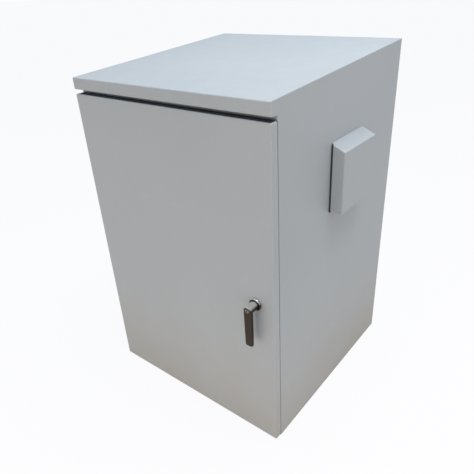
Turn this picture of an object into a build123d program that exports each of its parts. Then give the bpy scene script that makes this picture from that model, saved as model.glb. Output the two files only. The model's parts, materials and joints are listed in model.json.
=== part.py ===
from build123d import *
import math
import os

os.makedirs("parts", exist_ok=True)

# A roadside utility cabinet of folded sheet steel, in millimetres.
# The origin is the middle of the anchor holes at the underside, +Z is up,
# the door faces -Y and the ventilation hood is on the +X side.

# Overall size
width = 600.0
depth = 600.0
front_height = 900.0
roof_rise = 34.0
fascia_height = 29.0

# Sheet thicknesses and bends
body_sheet = 1.5
roof_sheet = 1.5
door_sheet = 2.0
floor_sheet = 2.0
plate_sheet = 2.0
hood_sheet = 1.5
bend_inside = 1.5
floor_bend_inside = 0.8

# Door opening and its folded surround
opening_side_inset = 33.5
opening_bottom = 32.0
opening_top_drop = 72.0
rain_lip_depth = 10.5
top_rail_flange = 16.0
fascia_corner_radius = 4.0

# Door pan
door_pan_depth = 19.5
door_gap_behind = 2.0
door_bottom = 2.0
door_top_drop = 40.0
door_edge_radius = 3.0
door_corner_radius = 4.0
door_return_width = 14.0
gasket_width = 8.0
gasket_clearance = 0.3

# Perforated rails on the inside of the door
rail_web = 26.0
rail_foot = 11.0
rail_height = 17.0
rail_sheet = 1.5
rail_bottom = 70.0
rail_top_inset = 70.0
rail_from_opening = 31.5
rail_from_lock = 62.0
rail_slot_length = 20.0
rail_slot_width = 7.0
rail_slot_pitch = 40.0

# Floor pan, anchor holes and cable entry
floor_flange = 12.0
floor_corner_notch = 4.5
anchor_pitch_x = 490.0
anchor_pitch_y = 480.0
anchor_hole = 12.0
entry_length = 300.0
entry_width = 120.0
entry_y = 120.0
entry_border = 20.0
entry_seal_height = 3.0
entry_plate_radius = 8.0
entry_screw_columns = 4

# Equipment mounting plate
mount_plate_width = 500.0
mount_plate_top_drop = 60.0
mount_plate_bottom = 60.0
mount_plate_gap = 34.5
mount_plate_radius = 6.0
mount_stud_inset = 20.0
mount_stud_length = 46.0

# Screw family: thread, across flats, nut height, head diameter, head height
m4_thread = 4.0
m4_head = 7.6
m4_head_height = 2.6
m5_thread = 5.0
m5_flats = 8.0
m5_nut_height = 4.0
m5_head = 9.4
m5_head_height = 3.0
m8_thread = 8.0
m8_flats = 13.0
m8_nut_height = 6.5
m8_washer = 16.0
m8_washer_height = 1.6
thread_clearance = 0.05
socket_share = 0.6
head_bevel_share = 1 / 3
tip_bevel_share = 0.1
screw_hole_clearance = 0.25
screw_tail = 2.5
stud_tail = 2.0

# Earth stud on the floor
earth_from_side = 100.0
earth_from_front = 85.0
earth_length = 24.0

# Ventilation hood on the right side
hood_y = 17.0
hood_width = 160.0
hood_top_drop = 144.0
hood_height = 170.0
hood_fall = 17.0
hood_depth = 31.0
hood_edge_radius = 3.0
hood_flange = 12.0
hood_gasket_thickness = 5.0
hood_gasket_drop = 3.0
hood_lip_gap = 0.3
hood_lip_clearance = 1.0
hood_screw_rows = 3
hood_screw_inset = 14.0

# Vent slots, mesh and filter behind the hood
vent_slot_length = 100.0
vent_slot_height = 6.0
vent_slot_pitch = 12.0
vent_slot_count = 9
vent_above_hood_bottom = 78.0
filter_size = 112.0
filter_mat_thickness = 10.0
filter_clearance = 1.0
filter_frame_sheet = 1.5
filter_frame_lip = 8.0
filter_frame_flange = 9.0
mesh_thickness = 0.8
mesh_holes = 7
mesh_hole_size = 10.0
mesh_hole_pitch = 14.5

# Concealed hinges
hinge_inset = 110.0
hinge_count = 3
hinge_from_side = 6.0
hinge_from_front = 7.0
hinge_knuckle = 7.0
hinge_pin = 4.0
hinge_running_fit = 0.05
hinge_arm_height = 20.0
hinge_leaf_height = 64.0
hinge_leaf_sheet = 2.0
hinge_leaf_reach = 18.0
hinge_arm_sheet = 2.0
hinge_post_sheet = 3.0
hinge_post_clearance = 0.45
hinge_foot = 7.0
hinge_side_gap = 0.3
hinge_arm_gap = 0.2
hinge_head = 6.2
hinge_head_height = 1.2
hinge_stud_x = 12.0
hinge_stud_z = 23.0
hinge_notch_margin = 2.0

# Lever handle and its housing
lock_from_opening = 18.5
rose_diameter = 32.6
rose_proud = 6.0
rose_dome = 3.0
washer_thickness = 1.0
washer_margin = 1.3
barrel_diameter = 22.0
barrel_hole_clearance = 0.25
barrel_length = 18.0
lock_nut_flats = 27.0
lock_nut_height = 5.5
lock_nut_turn = 30.0
hub_diameter = 22.6
hub_proud = 35.0
hub_gap = 0.4
shaft_diameter = 16.0
shaft_fit = 0.06
spindle_square = 8.0
spindle_fit = 0.1
lever_length = 103.0
lever_thickness = 8.0
lever_tip_width = 19.4
lever_mid_width = 21.4
lever_mid_drop = 68.0
lever_bevel = 2.2
lever_tip_radius = 3.5
plug_diameter = 11.0
plug_fit = 0.06
plug_depth = 22.0
plug_proud = 0.6
keyway_length = 7.0
keyway_width = 1.8
keyway_depth = 5.0

# Cam, drive pins and rods
cam_gap = 1.0
cam_thickness = 3.0
cam_radius = 15.0
tongue_length = 34.0
tongue_root_width = 19.0
tongue_tip_width = 13.0
tongue_bevel = 1.2
cam_screw_thread = 5.0
cam_screw_head = 8.0
cam_screw_head_height = 3.2
cam_screw_depth = 12.0
rod_travel = 16.0
drive_pin = 4.0
upper_pin_angle = 45.0
drive_pin_head = 7.0
drive_pin_head_height = 1.5
rod_gap = 0.5
rod_width = 10.0
rod_thickness = 4.0
rod_head_height = 20.0
rod_head_back = 3.4
rod_head_inner_gap = 0.6
drive_slot_clearance = 0.5
fork_width = 14.0
fork_depth = 10.0
fork_length = 18.0
fork_tip = 3.0
roller_diameter = 12.0
roller_width = 6.0
roller_side_gap = 0.3
roller_pin = 3.0
roller_fit = 0.05
roller_opening_gap = 1.0

# Rod guides
guide_end_inset = 87.0
guide_from_middle = 130.0
guide_wall = 2.2
guide_height = 14.0
guide_gap = 0.3
guide_foot_thickness = 4.0
guide_foot_length = 24.0
guide_stem_width = 9.0
guide_stud_offset = 15.5

# Places that follow from the sizes
half_width = width / 2
front_y = -depth / 2
back_y = depth / 2
earth_x = -half_width + earth_from_side
earth_y = front_y + earth_from_front
slope = roof_rise / depth
slope_stretch = math.hypot(1, slope)
fascia_bottom = front_height - fascia_height
opening_width = width - 2 * opening_side_inset
opening_top = front_height - opening_top_drop
door_top = front_height - door_top_drop
door_height = door_top - door_bottom
door_middle_z = (door_top + door_bottom) / 2
rail_top = door_top - rail_top_inset
rail_left_x = -opening_width / 2 + rail_from_opening
mount_plate_height = front_height - mount_plate_top_drop - mount_plate_bottom
hood_slope = hood_fall / (hood_gasket_thickness + hood_depth)
hood_wall_top = front_height - hood_top_drop
hood_back_top = hood_wall_top - hood_slope * hood_gasket_thickness
hood_bottom = hood_wall_top - hood_height
vent_z = hood_bottom + vent_above_hood_bottom
lower_hinge_z = door_bottom + hinge_inset
upper_hinge_z = door_top - hinge_inset
hinge_spacing = (upper_hinge_z - lower_hinge_z) / (hinge_count - 1)
hinge_heights = [lower_hinge_z + hinge_spacing * i for i in range(hinge_count)]
upper_guide_heights = (door_middle_z + guide_from_middle, door_top - guide_end_inset)
lower_guide_heights = (door_middle_z - guide_from_middle, door_bottom + guide_end_inset)
door_back_y = front_y + door_pan_depth
frame_y = door_back_y + door_gap_behind
frame_back_y = frame_y + body_sheet
lip_tip_y = frame_y - rain_lip_depth
side_inner_x = half_width - body_sheet
back_inner_y = back_y - body_sheet
lip_zone = opening_width / 2 + body_sheet + bend_inside
hood_back_x = half_width + hood_gasket_thickness
hood_front_x = hood_back_x + hood_depth
hood_sides = (hood_y - hood_width / 2, hood_y + hood_width / 2)
beyond = 20.0


def block(x_range, y_range, z_range):
    """Solid block between two limits along each axis."""
    ranges = (x_range, y_range, z_range)
    size = [high - low for low, high in ranges]
    middle = [(high + low) / 2 for low, high in ranges]
    return Pos(*middle) * Box(*size)


def along_x(section, x_range, y=0, z=0):
    """Solid of a section drawn in Y and Z, pushed along X."""
    low, high = x_range
    placed = Pos(low, y, z) * (Plane.YZ * section)
    return extrude(placed, amount=high - low, dir=(1, 0, 0))


def along_y(section, y_range, x=0, z=0):
    """Solid of a section drawn in X and Z, pushed along Y."""
    low, high = y_range
    placed = Pos(x, low, z) * (Plane.XZ * section)
    return extrude(placed, amount=high - low, dir=(0, 1, 0))


def along_z(section, z_range, x=0, y=0):
    """Solid of a section drawn in X and Y, pushed along Z."""
    low, high = z_range
    return extrude(Pos(x, y, low) * section, amount=high - low, dir=(0, 0, 1))


def folded(points, thickness, inside_radius):
    """Section of a folded sheet whose middle line runs through the points."""
    line = FilletPolyline(*points, radius=inside_radius + thickness / 2)
    return trace(line, line_width=thickness)


def spread(low, high, count):
    """Evenly spaced values from low to high, both included."""
    return [low + (high - low) * step / (count - 1) for step in range(count)]


def disc(diameter):
    """Round section of a diameter."""
    return Circle(diameter / 2)


def hexagon(flats):
    """Six-sided section, measured across its flats, with two flats facing sideways."""
    return RegularPolygon(flats / 2, 6, major_radius=False)


def pan_screw(thread, length, head, head_height):
    """Screw with its head on top of Z = 0 and its shank below, with a hexagon socket."""
    top = along_z(disc(head), (0, head_height))
    top = chamfer(top.edges().sort_by(Axis.Z)[-1], head_height * head_bevel_share)
    shank = along_z(disc(thread), (-length, 0))
    shank = chamfer(shank.edges().sort_by(Axis.Z)[0], thread * tip_bevel_share)
    socket = along_z(hexagon(thread * socket_share), (head_height / 2, head_height))
    return top + shank - socket


def hex_nut(thread, flats, height):
    """Nut standing on Z = 0."""
    hole = along_z(disc(thread + 2 * thread_clearance), (0, height))
    return along_z(hexagon(flats), (0, height)) - hole


def stud(thread, length):
    """Welded stud standing on Z = 0 with a chamfered tip."""
    pin = along_z(disc(thread), (0, length))
    return chamfer(pin.edges().sort_by(Axis.Z)[-1], thread * tip_bevel_share)


def save(name, *solids):
    """Write one piece, or a group of like pieces, to its own file."""
    shape = solids[0] if len(solids) == 1 else Compound(children=list(solids))
    export_step(shape, f"parts/{name}.step")


# Turns that point a piece's own +Z along another axis
TO_FRONT = Rot(90, 0, 0)
TO_BACK = Rot(-90, 0, 0)
TO_LEFT = Rot(0, -90, 0)


def roof_line(y):
    """Height of the roof's upper face at a place from front to back."""
    return front_height + (y - front_y) * slope


def make_roof():
    """Roof sheet, folded down into the fascia and back under it."""
    half_sheet = roof_sheet / 2
    fascia_y = front_y + half_sheet
    lip_z = fascia_bottom + half_sheet
    ends = (back_y + beyond, fascia_y)
    top_points = [(y, roof_line(y) - half_sheet * slope_stretch) for y in ends]
    section = folded(top_points + [(fascia_y, lip_z), (frame_y, lip_z)], roof_sheet, bend_inside)
    roof = along_x(section, (-half_width, half_width))
    roof -= block((-half_width, half_width), (back_y, back_y + 2 * beyond), (0, 2 * front_height))
    ear_top = front_height - 2 * roof_sheet
    for side in (-1, 1):
        ear_x = sorted((side * side_inner_x, side * half_width))
        roof -= block(ear_x, (front_y + roof_sheet, frame_y), (fascia_bottom, ear_top))
    return roof


def fascia_ear():
    """End of the fascia, as a tongue of the side sheet, drawn in Y and Z."""
    start = front_y + roof_sheet
    ear = Pos((start + frame_back_y) / 2, (fascia_bottom + front_height) / 2)
    ear *= Rectangle(frame_back_y - start, front_height - fascia_bottom)
    corner = ear.vertices().sort_by(Axis.X)[:2].sort_by(Axis.Y)[0]
    return fillet(corner, fascia_corner_radius)


def hood_screw_places():
    """Height and depth of each hood screw."""
    lowest = hood_bottom + hood_screw_inset
    highest = hood_back_top - hood_flange - hood_screw_inset
    heights = spread(lowest, highest, hood_screw_rows)
    columns = [hood_sides[0] + hood_flange / 2, hood_sides[1] - hood_flange / 2]
    return [(y, z) for y in columns for z in heights]


def filter_screw_places():
    """Height and depth of each screw in the corners of the filter frame."""
    reach = filter_size / 2 + filter_clearance + filter_frame_sheet + filter_frame_flange / 2
    return [(hood_y + i * reach, vent_z + j * reach) for i in (-1, 1) for j in (-1, 1)]


def make_body_shell(roof):
    """Left side, back and right side in one wrap, with returns and rain lips at the door opening."""
    mid = body_sheet / 2
    lip_x = opening_width / 2 + mid
    side_x = half_width - mid
    face_y = frame_y + mid
    wall_y = back_y - mid
    right = [(side_x, wall_y), (side_x, face_y), (lip_x, face_y), (lip_x, lip_tip_y)]
    left = [(-x, y) for x, y in reversed(right)]
    tallest = roof_line(back_y)
    shell = along_z(folded(left + right, body_sheet, bend_inside), (0, tallest))
    shell -= block((-lip_zone, lip_zone), (front_y, frame_back_y), (opening_top + body_sheet, tallest))
    shell -= block((-lip_zone, lip_zone), (front_y, frame_back_y), (0, opening_bottom - body_sheet))
    for side in (-1, 1):
        ear_x = sorted((side * side_inner_x, side * half_width))
        shell += along_x(fascia_ear(), ear_x)
    above = [(front_y, roof_line(front_y)), (back_y, roof_line(back_y))]
    above = [(y, z - roof_sheet / 2) for y, z in above]
    above += [(back_y, tallest + beyond), (front_y, tallest + beyond)]
    shell -= along_x(Polygon(*above, align=None), (-half_width, half_width))
    shell -= roof
    wall = (side_inner_x, half_width)
    reach = (vent_slot_count - 1) * vent_slot_pitch / 2
    for z in spread(vent_z - reach, vent_z + reach, vent_slot_count):
        shell -= along_x(SlotOverall(vent_slot_length, vent_slot_height), wall, hood_y, z)
    for y, z in hood_screw_places():
        shell -= along_x(disc(m5_thread + 2 * screw_hole_clearance), wall, y, z)
    for y, z in filter_screw_places():
        shell -= along_x(disc(m4_thread + 2 * thread_clearance), wall, y, z)
    return shell


def make_top_rail(shell):
    """Top of the door frame: rain lip, face and a flange under the roof."""
    mid = body_sheet / 2
    face_y = frame_y + mid
    below = (roof_sheet + mid) * slope_stretch
    points = [(lip_tip_y, opening_top + mid), (face_y, opening_top + mid)]
    points += [(y, roof_line(y) - below) for y in (face_y, face_y + top_rail_flange)]
    return along_x(folded(points, body_sheet, bend_inside), (-lip_zone, lip_zone)) - shell


def make_bottom_rail(shell):
    """Bottom of the door frame: rain lip and face down to the ground."""
    mid = body_sheet / 2
    face_y = frame_y + mid
    points = [(lip_tip_y, opening_bottom - mid), (face_y, opening_bottom - mid), (face_y, 0)]
    return along_x(folded(points, body_sheet, bend_inside), (-lip_zone, lip_zone)) - shell


def make_floor_pan():
    """Floor tray with upturned edges, relieved corners, anchor holes and the cable entry."""
    x_range = (-side_inner_x, side_inner_x)
    y_range = (frame_back_y, back_inner_y)
    outer = block(x_range, y_range, (0, floor_flange))
    outer = fillet(outer.faces().sort_by(Axis.Z)[0].edges(), floor_sheet + floor_bend_inside)
    inner_x = (x_range[0] + floor_sheet, x_range[1] - floor_sheet)
    inner_y = (y_range[0] + floor_sheet, y_range[1] - floor_sheet)
    inner = block(inner_x, inner_y, (floor_sheet, floor_flange + beyond))
    pan = outer - fillet(inner.faces().sort_by(Axis.Z)[0].edges(), floor_bend_inside)
    notch = Box(2 * floor_corner_notch, 2 * floor_corner_notch, 2 * floor_flange + beyond)
    for x in x_range:
        for y in y_range:
            pan -= Pos(x, y, 0) * notch
    for place in GridLocations(anchor_pitch_x, anchor_pitch_y, 2, 2):
        pan -= place * along_z(disc(anchor_hole), (0, floor_sheet))
    pan -= along_z(Rectangle(entry_length, entry_width), (0, floor_sheet), 0, entry_y)
    for place in entry_screw_places():
        pan -= place * along_z(disc(m5_thread + 2 * thread_clearance), (0, floor_sheet))
    return pan


def entry_screw_places():
    """Two rows of screws along the long edges of the cable entry plate."""
    pitch = entry_length / (entry_screw_columns - 1)
    row_gap = entry_width + entry_border
    return [Pos(0, entry_y) * place for place in GridLocations(pitch, row_gap, entry_screw_columns, 2)]


def entry_outline():
    """Outline of the cable entry plate and of its seal."""
    border = 2 * entry_border
    return RectangleRounded(entry_length + border, entry_width + border, entry_plate_radius)


def make_entry_seal():
    """Rubber frame between the floor and the cable entry plate."""
    section = entry_outline() - Rectangle(entry_length, entry_width)
    z_range = (floor_sheet, floor_sheet + entry_seal_height)
    seal = along_z(section, z_range, 0, entry_y)
    for place in entry_screw_places():
        seal -= place * along_z(disc(m5_thread + 2 * screw_hole_clearance), z_range)
    return seal


def make_entry_plate():
    """Blank plate that closes the cable entry."""
    low = floor_sheet + entry_seal_height
    plate = along_z(entry_outline(), (low, low + plate_sheet), 0, entry_y)
    for place in entry_screw_places():
        plate -= place * along_z(disc(m5_thread + 2 * screw_hole_clearance), (low, low + plate_sheet))
    return plate


def make_entry_screws():
    """Screws of the cable entry plate, ending inside the floor sheet."""
    seat = floor_sheet + entry_seal_height + plate_sheet
    screw = pan_screw(m5_thread, seat - screw_hole_clearance, m5_head, m5_head_height)
    return [place * Pos(0, 0, seat) * screw for place in entry_screw_places()]


def mount_stud_places():
    """Middle of each stud of the mounting plate, across and up."""
    middle = mount_plate_bottom + mount_plate_height / 2
    reach_x = mount_plate_width / 2 - mount_stud_inset
    reach_z = mount_plate_height / 2 - mount_stud_inset
    return [(i * reach_x, middle + j * reach_z) for i in (-1, 1) for j in (-1, 1)]


def make_mount_plate():
    """Galvanised plate that equipment is screwed to."""
    rear = back_inner_y - mount_plate_gap
    outline = RectangleRounded(mount_plate_width, mount_plate_height, mount_plate_radius)
    plate = along_y(outline, (rear - plate_sheet, rear), 0, mount_plate_bottom + mount_plate_height / 2)
    for x, z in mount_stud_places():
        hole = disc(m8_thread + 2 * screw_hole_clearance)
        plate -= along_y(hole, (rear - plate_sheet, rear), x, z)
    return plate


def make_mount_studs():
    """Studs welded to the back wall."""
    pin = TO_FRONT * stud(m8_thread, mount_stud_length)
    return [Pos(x, back_inner_y, z) * pin for x, z in mount_stud_places()]


def make_mount_nuts():
    """One nut behind the mounting plate and one before it on each stud."""
    rear = back_inner_y - mount_plate_gap
    nut = TO_FRONT * hex_nut(m8_thread, m8_flats, m8_nut_height)
    nuts = []
    for x, z in mount_stud_places():
        nuts.append(Pos(x, rear + m8_nut_height, z) * nut)
        nuts.append(Pos(x, rear - plate_sheet, z) * nut)
    return nuts


def hood_outline(inset):
    """Side view of the hood in X and Z, drawn in from its outer faces."""
    back_x = hood_back_x + inset
    front_x = hood_front_x - inset
    drop = inset * math.hypot(1, hood_slope)
    top = [hood_back_top - drop - hood_slope * (x - hood_back_x) for x in (back_x, front_x)]
    low = hood_bottom if inset == 0 else hood_bottom - beyond
    return Polygon((back_x, low), (front_x, low), (front_x, top[1]), (back_x, top[0]), align=None)


def hood_body(inset, radius):
    """Rounded block of the hood's outside, or of its inside when drawn in."""
    body = along_y(hood_outline(inset), (hood_sides[0] + inset, hood_sides[1] - inset))
    edges = [e for e in body.edges() if e.center().X > hood_back_x + hood_sheet * 2]
    edges = [e for e in edges if e.center().Z > hood_bottom + hood_flange]
    return fillet(edges, radius)


def hood_lip():
    """Rear edge of the hood's top sheet, which covers the foam strip up to the wall."""
    xs = (half_width + hood_lip_gap, hood_back_x + hood_sheet)
    top = [(x, hood_wall_top - hood_slope * (x - half_width)) for x in xs]
    underside = [(x, z - hood_sheet) for x, z in reversed(top)]
    sides = (hood_sides[0] + hood_edge_radius, hood_sides[1] - hood_edge_radius)
    return along_y(Polygon(*top, *underside, align=None), sides)


def make_vent_hood():
    """Folded hood, open at the bottom, with flanges turned in against the side wall."""
    hood = hood_body(0, hood_edge_radius) - hood_body(hood_sheet, hood_edge_radius - hood_sheet)
    hood += hood_lip()
    window_y = (hood_sides[0] + hood_flange, hood_sides[1] - hood_flange)
    flange_x = (hood_back_x, hood_back_x + hood_sheet)
    hood -= block(flange_x, window_y, (hood_bottom, hood_back_top - hood_flange))
    for y, z in hood_screw_places():
        hole = disc(m5_thread + 2 * thread_clearance)
        hood -= along_x(hole, flange_x, y, z)
    return hood


def make_hood_gasket():
    """Black foam strip between hood and side wall, open downward like the hood."""
    low = hood_bottom - hood_gasket_drop
    x_range = (half_width, hood_back_x)
    high = hood_back_top - hood_sheet - hood_lip_clearance
    gasket = block(x_range, hood_sides, (low, high))
    top_edges = gasket.edges().filter_by(Axis.X).sort_by(Axis.Z)[-2:]
    gasket = fillet(top_edges, hood_edge_radius)
    window_y = (hood_sides[0] + hood_flange, hood_sides[1] - hood_flange)
    gasket -= block(x_range, window_y, (low, hood_back_top - hood_flange))
    for y, z in hood_screw_places():
        gasket -= along_x(disc(m5_thread + 2 * screw_hole_clearance), x_range, y, z)
    return gasket


def make_hood_screws():
    """Screws driven from inside the cabinet into the hood's flanges."""
    length = body_sheet + hood_gasket_thickness + hood_sheet + screw_tail
    screw = TO_LEFT * pan_screw(m5_thread, length, m5_head, m5_head_height)
    return [Pos(side_inner_x, y, z) * screw for y, z in hood_screw_places()]


def make_insect_mesh():
    """Perforated mesh flat on the inside of the vent slots."""
    x_range = (side_inner_x - mesh_thickness, side_inner_x)
    mesh = along_x(Rectangle(filter_size, filter_size), x_range, hood_y, vent_z)
    grid = GridLocations(mesh_hole_pitch, mesh_hole_pitch, mesh_holes, mesh_holes)
    holes = Sketch() + grid * Rectangle(mesh_hole_size, mesh_hole_size)
    return mesh - along_x(holes, x_range, hood_y, vent_z)


def make_filter_mat():
    """Square of filter fleece behind the mesh."""
    rear = side_inner_x - mesh_thickness
    return along_x(Rectangle(filter_size, filter_size), (rear - filter_mat_thickness, rear), hood_y, vent_z)


def make_filter_frame():
    """Shallow pressed frame that holds the mat, with a flange screwed to the wall."""
    pocket = filter_size + 2 * filter_clearance
    outside = pocket + 2 * filter_frame_sheet
    flange = outside + 2 * filter_frame_flange
    window = filter_size - 2 * filter_frame_lip
    lip_x = side_inner_x - mesh_thickness - filter_mat_thickness
    box = along_x(Rectangle(outside, outside), (lip_x - filter_frame_sheet, side_inner_x), hood_y, vent_z)
    box = fillet(box.faces().sort_by(Axis.X)[0].edges(), filter_frame_sheet)
    plate_x = (side_inner_x - filter_frame_sheet, side_inner_x)
    plate = RectangleRounded(flange, flange, filter_frame_flange / 2)
    frame = box + along_x(plate, plate_x, hood_y, vent_z)
    frame -= along_x(Rectangle(pocket, pocket), (lip_x, side_inner_x), hood_y, vent_z)
    frame -= along_x(Rectangle(window, window), (lip_x - filter_frame_sheet, lip_x), hood_y, vent_z)
    for y, z in filter_screw_places():
        frame -= along_x(disc(m4_thread + 2 * screw_hole_clearance), plate_x, y, z)
    return frame


def make_filter_screws():
    """Screws of the filter frame, tapped into the side wall."""
    seat = side_inner_x - filter_frame_sheet
    length = filter_frame_sheet + body_sheet + screw_tail
    screw = TO_LEFT * pan_screw(m4_thread, length, m4_head, m4_head_height)
    return [Pos(seat, y, z) * screw for y, z in filter_screw_places()]


def save_body():
    """Everything that stands still."""
    roof = make_roof()
    shell = make_body_shell(roof)
    save("roof_sheet", roof)
    save("body_shell", shell)
    save("door_frame_top_rail", make_top_rail(shell))
    save("door_frame_bottom_rail", make_bottom_rail(shell))
    save("floor_pan", make_floor_pan())
    save("cable_entry_seal", make_entry_seal())
    save("cable_entry_plate", make_entry_plate())
    save("cable_entry_screws", *make_entry_screws())
    save("mounting_plate", make_mount_plate())
    save("mounting_plate_studs", *make_mount_studs())
    save("mounting_plate_nuts", *make_mount_nuts())
    earth = Pos(earth_x, earth_y, floor_sheet)
    washer = along_z(disc(m8_washer) - disc(m8_thread + 2 * screw_hole_clearance), (0, m8_washer_height))
    save("earth_stud", earth * stud(m8_thread, earth_length))
    save("earth_washer", earth * washer)
    save("earth_nut", earth * Pos(0, 0, m8_washer_height) * hex_nut(m8_thread, m8_flats, m8_nut_height))
    save("vent_hood", make_vent_hood())
    save("hood_gasket", make_hood_gasket())
    save("hood_screws", *make_hood_screws())
    save("insect_mesh", make_insect_mesh())
    save("filter_mat", make_filter_mat())
    save("filter_frame", make_filter_frame())
    save("filter_screws", *make_filter_screws())


# Places on the door that follow from the sizes
door_inner_y = front_y + door_sheet
gasket_back_y = lip_tip_y - gasket_clearance
hinge_x = -half_width + hinge_from_side
hinge_y = front_y + hinge_from_front
hinge_notch_height = hinge_leaf_height + 2 * hinge_notch_margin
lock_x = opening_width / 2 - lock_from_opening
rail_right_x = lock_x - rail_from_lock
lock_z = door_middle_z
knuckle_radius = hinge_knuckle / 2
leaf_back_y = door_inner_y + hinge_leaf_sheet
arm_front_y = leaf_back_y + hinge_arm_gap
heel_reach = math.hypot(hinge_from_side, door_back_y - hinge_y)
post_x = hinge_x + heel_reach + hinge_post_clearance
cam_front_y = frame_back_y + cam_gap
cam_back_y = cam_front_y + cam_thickness
rod_front_y = cam_back_y + rod_gap
rod_back_y = rod_front_y + rod_thickness
rod_middle_y = (rod_front_y + rod_back_y) / 2
drive_radius = rod_travel / math.sqrt(2)
drive_offset = rod_travel / 2
rod_offset = (drive_radius + drive_offset) / 2
upper_roller_z = opening_top - roller_opening_gap - roller_diameter / 2
lower_roller_z = opening_bottom + roller_opening_gap + roller_diameter / 2


def make_door_panel():
    """Door pan: a flat face with rounded edges, four sides and narrow returns."""
    half_height = door_height / 2
    outer = block((-half_width, half_width), (front_y, door_back_y), (door_bottom, door_top))
    outer = fillet(outer.edges().filter_by(Axis.Y), door_corner_radius)
    outer = fillet(outer.faces().sort_by(Axis.Y)[0].edges(), door_edge_radius)
    in_x = half_width - door_sheet
    in_z = (door_bottom + door_sheet, door_top - door_sheet)
    inner = block((-in_x, in_x), (door_inner_y, door_back_y - door_sheet), in_z)
    inner = fillet(inner.edges().filter_by(Axis.Y), door_corner_radius - door_sheet)
    inner = fillet(inner.faces().sort_by(Axis.Y)[0].edges(), door_edge_radius - door_sheet)
    panel = outer - inner
    window = Rectangle(width - 2 * door_return_width, door_height - 2 * door_return_width)
    panel -= along_y(window, (door_back_y - door_sheet, door_back_y), 0, door_middle_z)
    notch_x = (-in_x, -half_width + door_return_width)
    for z in hinge_heights:
        notch_z = (z - hinge_notch_height / 2, z + hinge_notch_height / 2)
        panel -= block(notch_x, (door_back_y - door_sheet, door_back_y), notch_z)
    hole = disc(barrel_diameter + 2 * barrel_hole_clearance)
    return panel - along_y(hole, (front_y, door_inner_y), lock_x, lock_z)


def make_door_gasket():
    """Foam frame on the inside of the door, in line with the rain lips."""
    lip_width = opening_width + body_sheet
    lip_height = opening_top - opening_bottom + body_sheet
    middle_z = (opening_top + opening_bottom) / 2
    outer = RectangleRounded(lip_width + gasket_width, lip_height + gasket_width, gasket_width)
    inner = Rectangle(lip_width - gasket_width, lip_height - gasket_width)
    return along_y(outer - inner, (door_inner_y, gasket_back_y), 0, middle_z)


def make_door_rail(x):
    """Perforated hat-shaped rail that stiffens the door."""
    mid = rail_sheet / 2
    web_x = rail_web / 2 - mid
    foot_x = web_x + rail_foot
    foot_y = door_inner_y + mid
    web_y = door_inner_y + rail_height - mid
    half = [(web_x, web_y), (web_x, foot_y), (foot_x, foot_y)]
    points = [(-px, py) for px, py in reversed(half)] + half
    rail = along_z(folded(points, rail_sheet, bend_inside), (rail_bottom, rail_top), x)
    count = int((rail_top - rail_bottom) / rail_slot_pitch)
    reach = (count - 1) * rail_slot_pitch / 2
    middle_z = (rail_top + rail_bottom) / 2
    slot = SlotOverall(rail_slot_length, rail_slot_width, rotation=90)
    for z in spread(middle_z - reach, middle_z + reach, count):
        rail -= along_y(slot, (web_y - rail_sheet, web_y + rail_sheet), x, z)
    return rail


def make_hinge_bracket(z):
    """Fixed half of a hinge: a foot and post on the door frame and an arm to the middle knuckle."""
    half = hinge_arm_height / 2
    z_range = (z - half, z + half)
    post = block((post_x, post_x + hinge_post_sheet), (arm_front_y, frame_y), z_range)
    foot_x = (post_x, post_x + hinge_post_sheet + hinge_foot)
    foot = block(foot_x, (frame_y - hinge_arm_sheet, frame_y), z_range)
    arm = block((hinge_x, post_x + hinge_post_sheet), (arm_front_y, arm_front_y + hinge_arm_sheet), z_range)
    bracket = post + foot + arm + along_z(disc(hinge_knuckle), z_range, hinge_x, hinge_y)
    bore = disc(hinge_pin + 2 * hinge_running_fit)
    return bracket - along_z(bore, z_range, hinge_x, hinge_y)


def make_hinge_leaf(z):
    """Moving half of a hinge: a leaf on the door with a knuckle above and below the arm."""
    half = hinge_leaf_height / 2
    z_range = (z - half, z + half)
    leaf = block((hinge_x, hinge_x + hinge_leaf_reach), (door_inner_y, leaf_back_y), z_range)
    leaf = fillet(leaf.edges().filter_by(Axis.Y).sort_by(Axis.X)[-2:], hinge_leaf_sheet)
    leaf += along_z(disc(hinge_knuckle), z_range, hinge_x, hinge_y)
    gap = hinge_arm_height / 2 + hinge_side_gap
    clear = knuckle_radius + hinge_side_gap
    middle = block((hinge_x - clear, hinge_x + clear), (door_inner_y, hinge_y + clear), (z - gap, z + gap))
    bore = disc(hinge_pin + 2 * hinge_running_fit)
    leaf -= middle + along_z(bore, z_range, hinge_x, hinge_y)
    for side in (-1, 1):
        hole = disc(m5_thread + 2 * screw_hole_clearance)
        leaf -= along_y(hole, (door_inner_y, leaf_back_y), hinge_x + hinge_stud_x, z + side * hinge_stud_z)
    return leaf


def make_hinge_pin(z):
    """Hinge pin hanging by its head from the top knuckle."""
    half = hinge_leaf_height / 2
    pin = along_z(disc(hinge_pin), (z - half - hinge_head_height, z + half), hinge_x, hinge_y)
    pin = chamfer(pin.edges().sort_by(Axis.Z)[0], hinge_pin * tip_bevel_share)
    return pin + along_z(disc(hinge_head), (z + half, z + half + hinge_head_height), hinge_x, hinge_y)


def hinge_stud_places():
    """Middle of each stud that holds a hinge leaf, across and up."""
    x = hinge_x + hinge_stud_x
    return [(x, z + side * hinge_stud_z) for z in hinge_heights for side in (-1, 1)]


def guides():
    """Each rod guide as its side of the lock and its height."""
    return [(-1, z) for z in upper_guide_heights] + [(1, z) for z in lower_guide_heights]


def guide_stud_places():
    """Middle of each stud that holds a rod guide, across and up."""
    return [(guide_stud_x(side), z) for side, z in guides()]


def rod_x(side):
    """Middle of the rod on the left or right side of the lock."""
    return lock_x + side * rod_offset


def guide_stud_x(side):
    """A guide's stud lies on the side of the rod that faces the hinges."""
    return rod_x(side) - guide_stud_offset


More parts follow.
